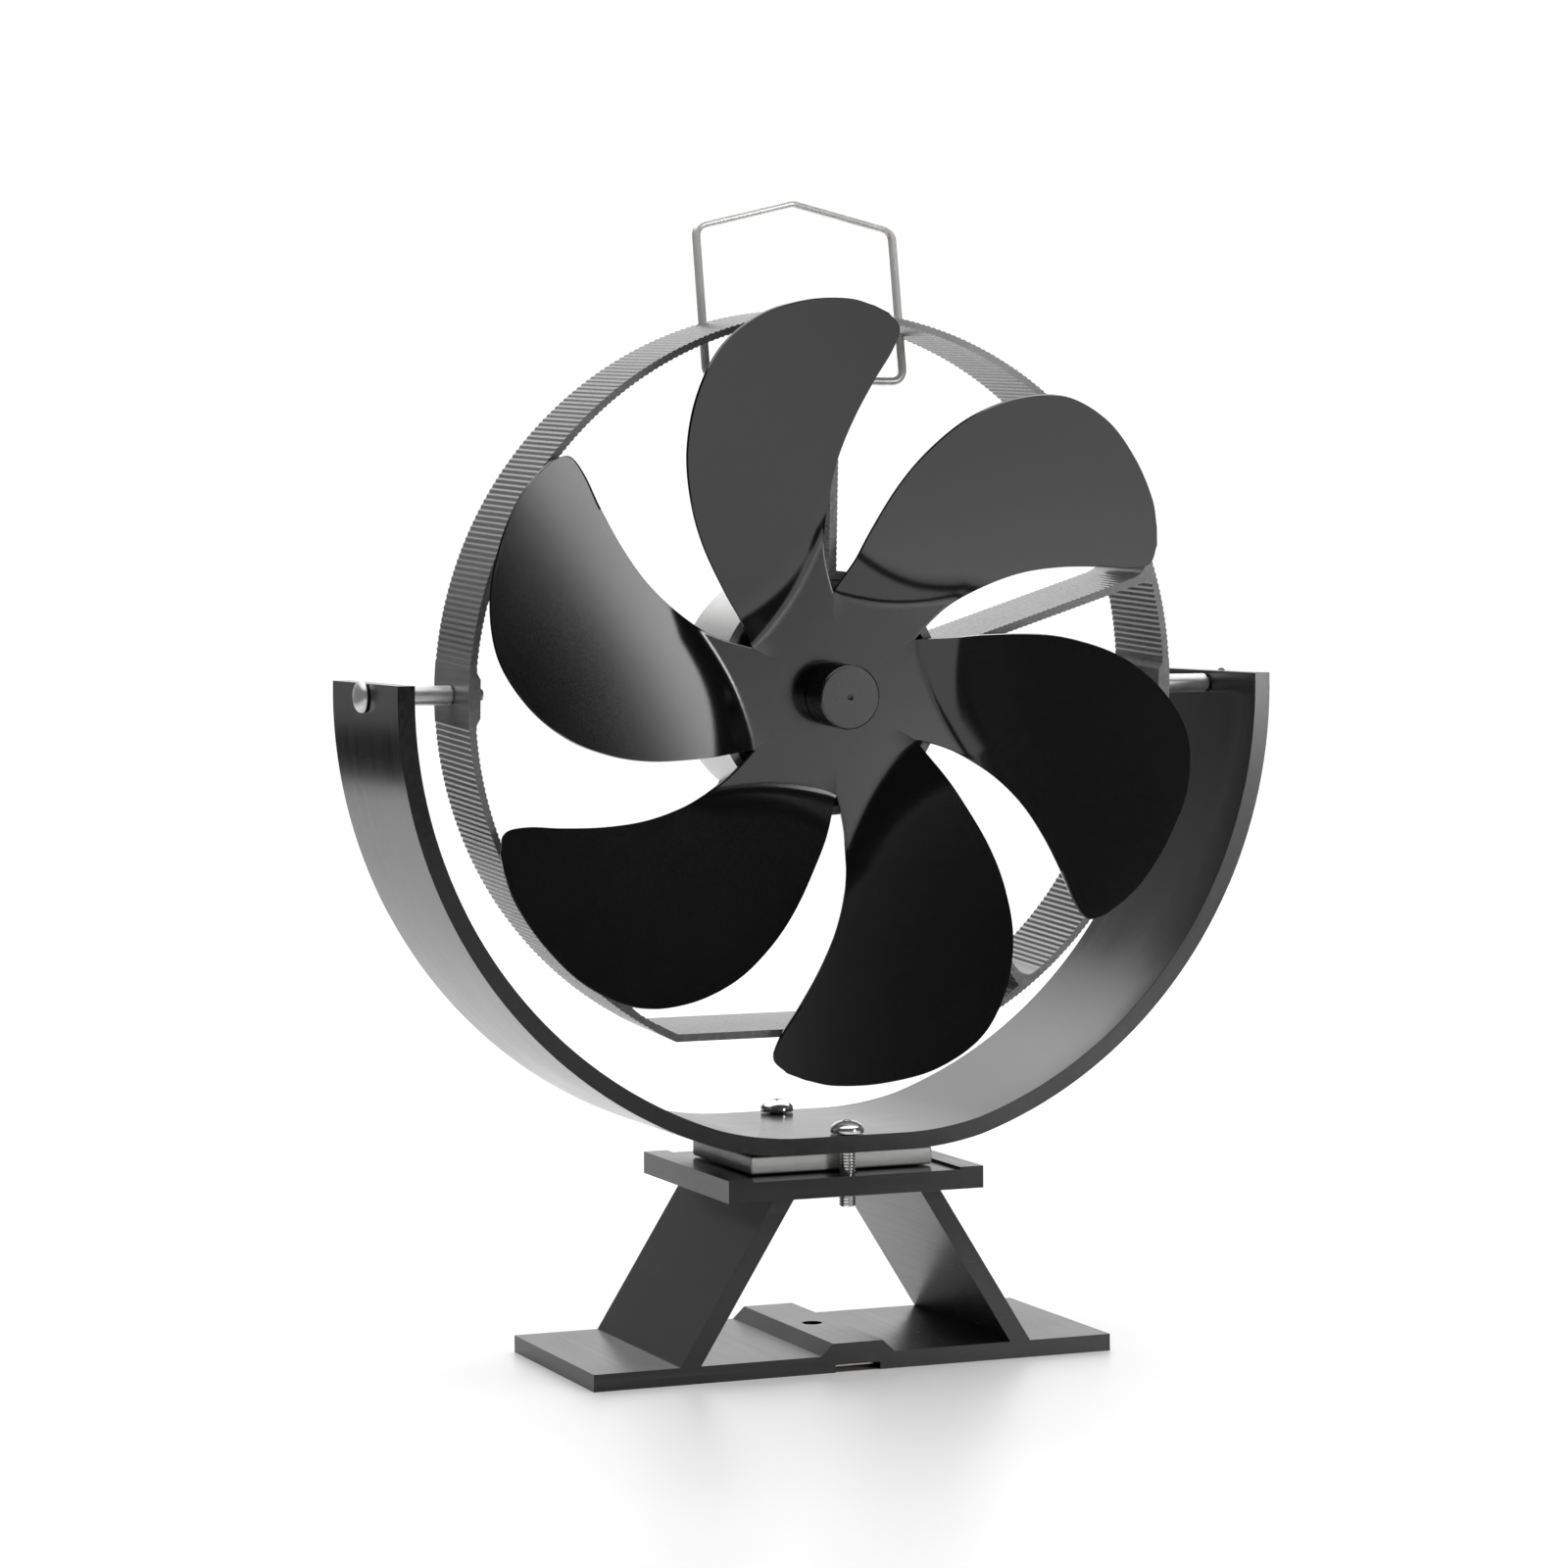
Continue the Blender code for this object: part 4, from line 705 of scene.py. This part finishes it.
# ---- Fan wheel ----
# One thin aluminium sheet, stamped with six swept blades. Each is bent forward along a crease that
# runs from its notch at the hub, with a short steep step at its root, and curls forward to its long
# edge. The sheet is anodised satin black.
WHEEL_RADIUS = 0.0915
SHEET_FRONT = 0.0152
SHEET_THICK = 0.0008
BLADES = 6
HUB_SHARE = 0.257
CONVEX_EDGE = (
    (HUB_SHARE, 92), (0.33, 85.5), (0.42, 81), (0.55, 76), (0.66, 71.5), (0.77, 66.3),
    (0.87, 60), (0.95, 53), (0.99, 45), (1.0, 37), (0.998, 30), (0.985, 25.5),
)
CONCAVE_EDGE = (
    (HUB_SHARE, 32), (0.33, 35), (0.40, 35.3), (0.50, 33.6), (0.60, 30.8), (0.70, 27.2),
    (0.80, 23.6), (0.88, 21.0), (0.94, 20.4), (0.972, 22.8),
)
ROWS = 96
COLUMNS = 52
BLADE_GAP = 0.00002
HUB_MIDDLE = 0.017
SHAFT_HOLE = 0.0028


def on_wheel(radius_share, degrees):
    """A point on the wheel, at a share of its radius."""
    angle = math.radians(degrees)
    return Vector((math.cos(angle), math.sin(angle))) * radius_share * WHEEL_RADIUS


def blade_edge(marks, count):
    """Evenly spaced points on a smooth curve through the marks along one edge of a blade."""
    marks = [on_wheel(*mark) for mark in marks]
    marks = [2 * marks[0] - marks[1]] + marks + [2 * marks[-1] - marks[-2]]
    fine = []
    for a, b, c, d in zip(marks, marks[1:], marks[2:], marks[3:]):
        for step in range(40):
            t = step / 40
            fine.append((2 * b + (c - a) * t + (2 * a - 5 * b + 4 * c - d) * t**2
                         + (3 * b - a - 3 * c + d) * t**3) / 2)
    fine.append(marks[-2])
    reach = [0.0]
    for start, end in zip(fine, fine[1:]):
        reach.append(reach[-1] + (end - start).length)
    even, at = [], 0
    for step in range(count + 1):
        wanted = reach[-1] * step / count
        while at < len(fine) - 2 and reach[at + 1] < wanted:
            at += 1
        share = (wanted - reach[at]) / (reach[at + 1] - reach[at])
        even.append(fine[at].lerp(fine[at + 1], min(share, 1)))
    return even


def ramp(distance, softness):
    """Nothing before zero and the distance itself after it, with a soft corner between."""
    if distance <= -softness:
        return 0.0
    if distance < softness:
        return (distance + softness) ** 2 / (4 * softness)
    return distance


NOTCH = on_wheel(HUB_SHARE, 92)
CREASE = on_wheel(0.5, 33.6) - NOTCH
ACROSS = Vector((-CREASE.y, CREASE.x)).normalized()
RIDGE = on_wheel(0.41, 35.3) - NOTCH
OFF_RIDGE = Vector((-RIDGE.y, RIDGE.x)).normalized()
RIDGE_BOW = 0.0018
RIDGE_BACK = 0.0006
RIDGE_SOFT = 0.0011
FOOT_SOFT = 0.0006
STEP_SLOPE = 0.56
ROOT_HEIGHT = 0.0036
ROOT_REACH = 0.038
LEAF_SLOPE = 0.175
LEAF_CURL = 1.8


def lift(point):
    """How far the sheet stands forward of the hub: the steep step from its bowed foot, up to the leaf.

    The leaf is highest at the notch, falls along the crease and curls forward away from it.
    """
    reach = point - NOTCH
    along = max(0.0, min(1.0, reach.dot(RIDGE) / RIDGE.length_squared))
    bow = RIDGE_BOW * math.sin(math.pi * along)
    step = STEP_SLOPE * (reach.dot(OFF_RIDGE) + bow - RIDGE_BACK)
    away = reach.dot(ACROSS)
    root = ROOT_HEIGHT * math.exp(-reach.dot(CREASE.normalized()) / ROOT_REACH)
    leaf = root + LEAF_SLOPE * away + LEAF_CURL * max(away, 0.0) ** 2
    return ramp(step - ramp(step - leaf, RIDGE_SOFT), FOOT_SOFT)


start_afresh()
bpy.ops.mesh.primitive_grid_add(x_subdivisions=COLUMNS, y_subdivisions=ROWS, size=1)
wheel = bpy.context.object
wheel.name = wheel.data.name = "wheel"
convex, concave = blade_edge(CONVEX_EDGE, ROWS), blade_edge(CONCAVE_EDGE, ROWS)
for vert in wheel.data.vertices:
    row, share = round((vert.co.y + 0.5) * ROWS), vert.co.x + 0.5
    point = convex[row].lerp(concave[row], share)
    vert.co = (point.x, point.y, SHEET_FRONT + lift(point))
blades = [wheel]
for number in range(1, BLADES):
    blade = another(wheel, "blade")
    blade.data.transform(Matrix.Rotation(-number * math.tau / BLADES, 4, "Z"))
    blades.append(blade)
join_up(blades, wheel)
close_up(wheel, BLADE_GAP)
bpy.ops.object.mode_set(mode="EDIT")
bpy.ops.mesh.select_all(action="DESELECT")
bpy.ops.mesh.select_mode(type="EDGE")
bpy.ops.mesh.select_non_manifold(extend=False)
bpy.ops.object.mode_set(mode="OBJECT")
hub_reach = HUB_SHARE * WHEEL_RADIUS + BLADE_GAP
for edge in wheel.data.edges:
    ends = [Vector(wheel.data.vertices[at].co[:2]) for at in edge.vertices]
    edge.select = edge.select and all(end.length < hub_reach for end in ends)
kept = {at for edge in wheel.data.edges if edge.select for at in edge.vertices}
for vert in wheel.data.vertices:
    vert.select = vert.index in kept
for radius in (HUB_MIDDLE, SHAFT_HOLE):
    bpy.ops.object.mode_set(mode="EDIT")
    bpy.ops.mesh.extrude_edges_move()
    bpy.ops.object.mode_set(mode="OBJECT")
    for vert in wheel.data.vertices:
        if vert.select:
            vert.co = (*(Vector(vert.co[:2]).normalized() * radius), SHEET_FRONT)
close_up(wheel)
if wheel.data.polygons[0].normal.z < 0:
    wheel.data.flip_normals()
sheet = wheel.modifiers.new("Sheet", "SOLIDIFY")
sheet.thickness = SHEET_THICK
sheet.offset = -1
apply_modifiers(wheel)
break_edges(wheel, 0.00016, angle=50)
wheel.data.transform(FAN)
satin = Finish("satin_black", 0.16, ior=1.62)
satin_grain = satin.noise((2200, 2200, 2200), detail=3)
satin_cloud = satin.noise((28, 28, 28), detail=4)
satin.shades(satin_grain, (0.0016, 0.0016, 0.0016), (0.004, 0.004, 0.004))
satin.rough(satin.math(
    "ADD", satin.range(satin_grain, 0.14, 0.18), satin.range(satin_cloud, -0.01, 0.015),
))
satin.bump(satin_grain, 0.000003)
settle(wheel, "rotor", satin.material, "fan_wheel")


# ---- Hub and cap ----
# A steel flange and threaded spigot behind the sheet, pressed on the shaft, and a round aluminium cap
# with a centre dimple that screws on in front and clamps the sheet.
hub = break_edges(copy_of_node("wheel_hub", "hub"), 0.00015)
settle(hub, "rotor", zinc.material, "wheel_hub")
cap = break_edges(copy_of_node("front_cap", "cap"), 0.00012)
turned_black = Finish("turned_black", 0.3, ior=1.62)
turned_grain = turned_black.noise((1500, 1500, 1500), detail=4)
turned_black.shades(turned_grain, (0.003, 0.003, 0.003), (0.008, 0.008, 0.008))
turned_black.rough(turned_black.range(turned_grain, 0.22, 0.28))
turned_black.bump(turned_grain, 0.000001)
settle(cap, "rotor", turned_black.material, "front_cap")


# ---- Handle ----
# One bent stainless wire, loose in two holes in the top of the ring. Its feet are turned inwards below
# the holes and its shoulders are above them, and so it slides but doesn't come out.
WIRE_RADIUS = 0.001
BEND_RADIUS = 0.003
HANDLE_LEAN = math.radians(13.5)
FOOT_END = 0.011
FEET, SHOULDERS, APEX = -0.013, 0.0235, 0.0297
corners = [
    Vector((across, 0, height)) for across, height in (
        (FOOT_END, FEET), (HALF_WIDTH, FEET), (HALF_WIDTH, SHOULDERS), (0, APEX),
        (-HALF_WIDTH, SHOULDERS), (-HALF_WIDTH, FEET), (-FOOT_END, FEET),
    )
]
start_afresh()
bpy.ops.mesh.primitive_circle_add(vertices=20, radius=WIRE_RADIUS, location=corners[0],
                                  rotation=(0, math.radians(90), 0), fill_type="NGON")
wire = bpy.context.object
wire.name = wire.data.name = "wire_handle"
bpy.ops.object.transform_apply(location=True, rotation=True, scale=True)
bpy.ops.object.mode_set(mode="EDIT")
bpy.ops.mesh.select_all(action="SELECT")
here = corners[0]
for before, corner, after in zip(corners, corners[1:], corners[2:]):
    arriving, leaving = (corner - before).normalized(), (after - corner).normalized()
    bend = arriving.angle(leaving)
    start = corner - arriving * BEND_RADIUS * math.tan(bend / 2)
    middle = corner + (leaving - arriving).normalized() * BEND_RADIUS / math.cos(bend / 2)
    bpy.ops.mesh.extrude_region_move(TRANSFORM_OT_translate={"value": start - here})
    bpy.ops.mesh.spin(steps=8, angle=bend, center=middle, axis=leaving.cross(arriving))
    here = corner + leaving * BEND_RADIUS * math.tan(bend / 2)
bpy.ops.mesh.extrude_region_move(TRANSFORM_OT_translate={"value": corners[-1] - here})
close_up(wire)
break_edges(wire, 0.00025, 3, 60)
wire.data.transform(
    Matrix.Translation(pivot) @ Matrix.Rotation(tilt, 4, "X")
    @ Matrix.Translation((0, HANDLE_BACK, hole)) @ Matrix.Rotation(-HANDLE_LEAN, 4, "X")
)
stainless = Finish("stainless_wire", 0.25, 0.3)
drawn = stainless.noise((400, 400, 40), detail=3)
stainless.shades(drawn, (0.8, 0.79, 0.77), (0.93, 0.92, 0.9))
stainless.rough(stainless.range(drawn, 0.22, 0.3))
settle(wire, "handle", stainless.material, "handle")


# ---- Studio ----
# A white table of four boards under a broad soft light, with a softbox on the right, a wide screen
# behind and a narrow one on the left. Where a black piece looks black, it mirrors a gap between the
# boards or the dark room in front on the left.
boards = []
for name, outline in (
    ("table", ((-0.53, -0.035), (0.06, -0.26339), (1.08, 1.25), (-0.25, 1.25))),
    ("table_left", ((-0.4, -0.44), (-0.03, -0.44), (-0.03, -0.22855), (-0.4, -0.08532))),
    ("table_near", ((-0.4, -0.95), (0.17, -0.95), (0.17, -0.44), (-0.4, -0.44))),
    ("table_right", ((0.19, -1.7), (2.2, -1.7), (0.9, -0.1), (0.17, -0.19))),
):
    start_afresh()
    bpy.ops.mesh.primitive_plane_add(size=1)
    board = bpy.context.object
    board.name = board.data.name = name
    near_left, near_right, far_right, far_left = outline
    for vert, (x, y) in zip(board.data.vertices, (near_left, near_right, far_left, far_right)):
        vert.co = (x, y, 0)
    boards.append(board)
paper = Finish("table_white", 0.35)
paper_cloud = paper.noise((6, 6, 6), detail=2)
paper.shades(paper_cloud, (0.9, 0.9, 0.9), (0.92, 0.92, 0.92))
for board in boards:
    board.data.materials.append(paper.material)
    board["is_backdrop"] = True


def light(name, kind, energy, location, aim=(0, 0, 0.12), **settings):
    """A light that looks at the fan. The camera doesn't see it."""
    data = bpy.data.lights.new(name, kind)
    data.energy = energy
    for setting, value in settings.items():
        setattr(data, setting, value)
    lamp = bpy.data.objects.new(name, data)
    bpy.context.scene.collection.objects.link(lamp)
    lamp.visible_camera = False
    lamp.location = location
    lamp.rotation_euler = (Vector(aim) - Vector(location)).to_track_quat("-Z", "Y").to_euler()


light("sky_light", "SUN", 3.9, (0.1, 0.35, 2), angle=math.radians(105))
light("softbox_right", "AREA", 1.7, (0.65, -1.07, 0.28), shape="RECTANGLE", size=0.27, size_y=0.33)
light("softbox_core", "AREA", 0.7, (0.65, -1.1, 0.17), shape="RECTANGLE", size=0.22, size_y=0.12)
light("screen_behind", "AREA", 7.5, (0.6, 1.7, 0.6), shape="RECTANGLE", size=1.8, size_y=1.2)
light("screen_left", "AREA", 0.5, (-0.53, 1.6, 0.55), shape="RECTANGLE", size=0.45, size_y=1.1)

world = bpy.data.worlds.new("studio")
bpy.context.scene.world = world
world.use_nodes = True
tree = world.node_tree
room = tree.nodes["Background"]
room.inputs["Color"].default_value = (0.98, 0.98, 0.975, 1)
room.inputs["Strength"].default_value = 0.03
seen = tree.nodes.new("ShaderNodeBackground")
seen.inputs["Color"].default_value = (0.98, 0.98, 0.975, 1)
seen.inputs["Strength"].default_value = 1.05
path = tree.nodes.new("ShaderNodeLightPath")
choice = tree.nodes.new("ShaderNodeMixShader")
tree.links.new(path.outputs["Is Camera Ray"], choice.inputs["Fac"])
tree.links.new(room.outputs["Background"], choice.inputs[1])
tree.links.new(seen.outputs["Background"], choice.inputs[2])
tree.links.new(choice.outputs["Shader"], tree.nodes["World Output"].inputs["Surface"])
bpy.context.scene.view_settings.view_transform = "Standard"

# The camera was fitted to the photograph: 1600 pixels across, with a focal length of 4468 pixels.
SENSOR = 36
lens = bpy.data.cameras.new("camera")
lens.sensor_width = SENSOR
lens.lens = SENSOR * 4468 / 1600
camera = bpy.data.objects.new("camera", lens)
bpy.context.scene.collection.objects.link(camera)
camera.matrix_world = (
    Matrix.Translation((-0.3990, -0.9472, 0.1890))
    @ Matrix.Rotation(math.radians(-22.46), 4, "Z")
    @ Matrix.Rotation(math.radians(90 - 3.02), 4, "X")
    @ Matrix.Rotation(math.radians(-0.23), 4, "Z")
)
bpy.context.scene.camera = camera

low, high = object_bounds()
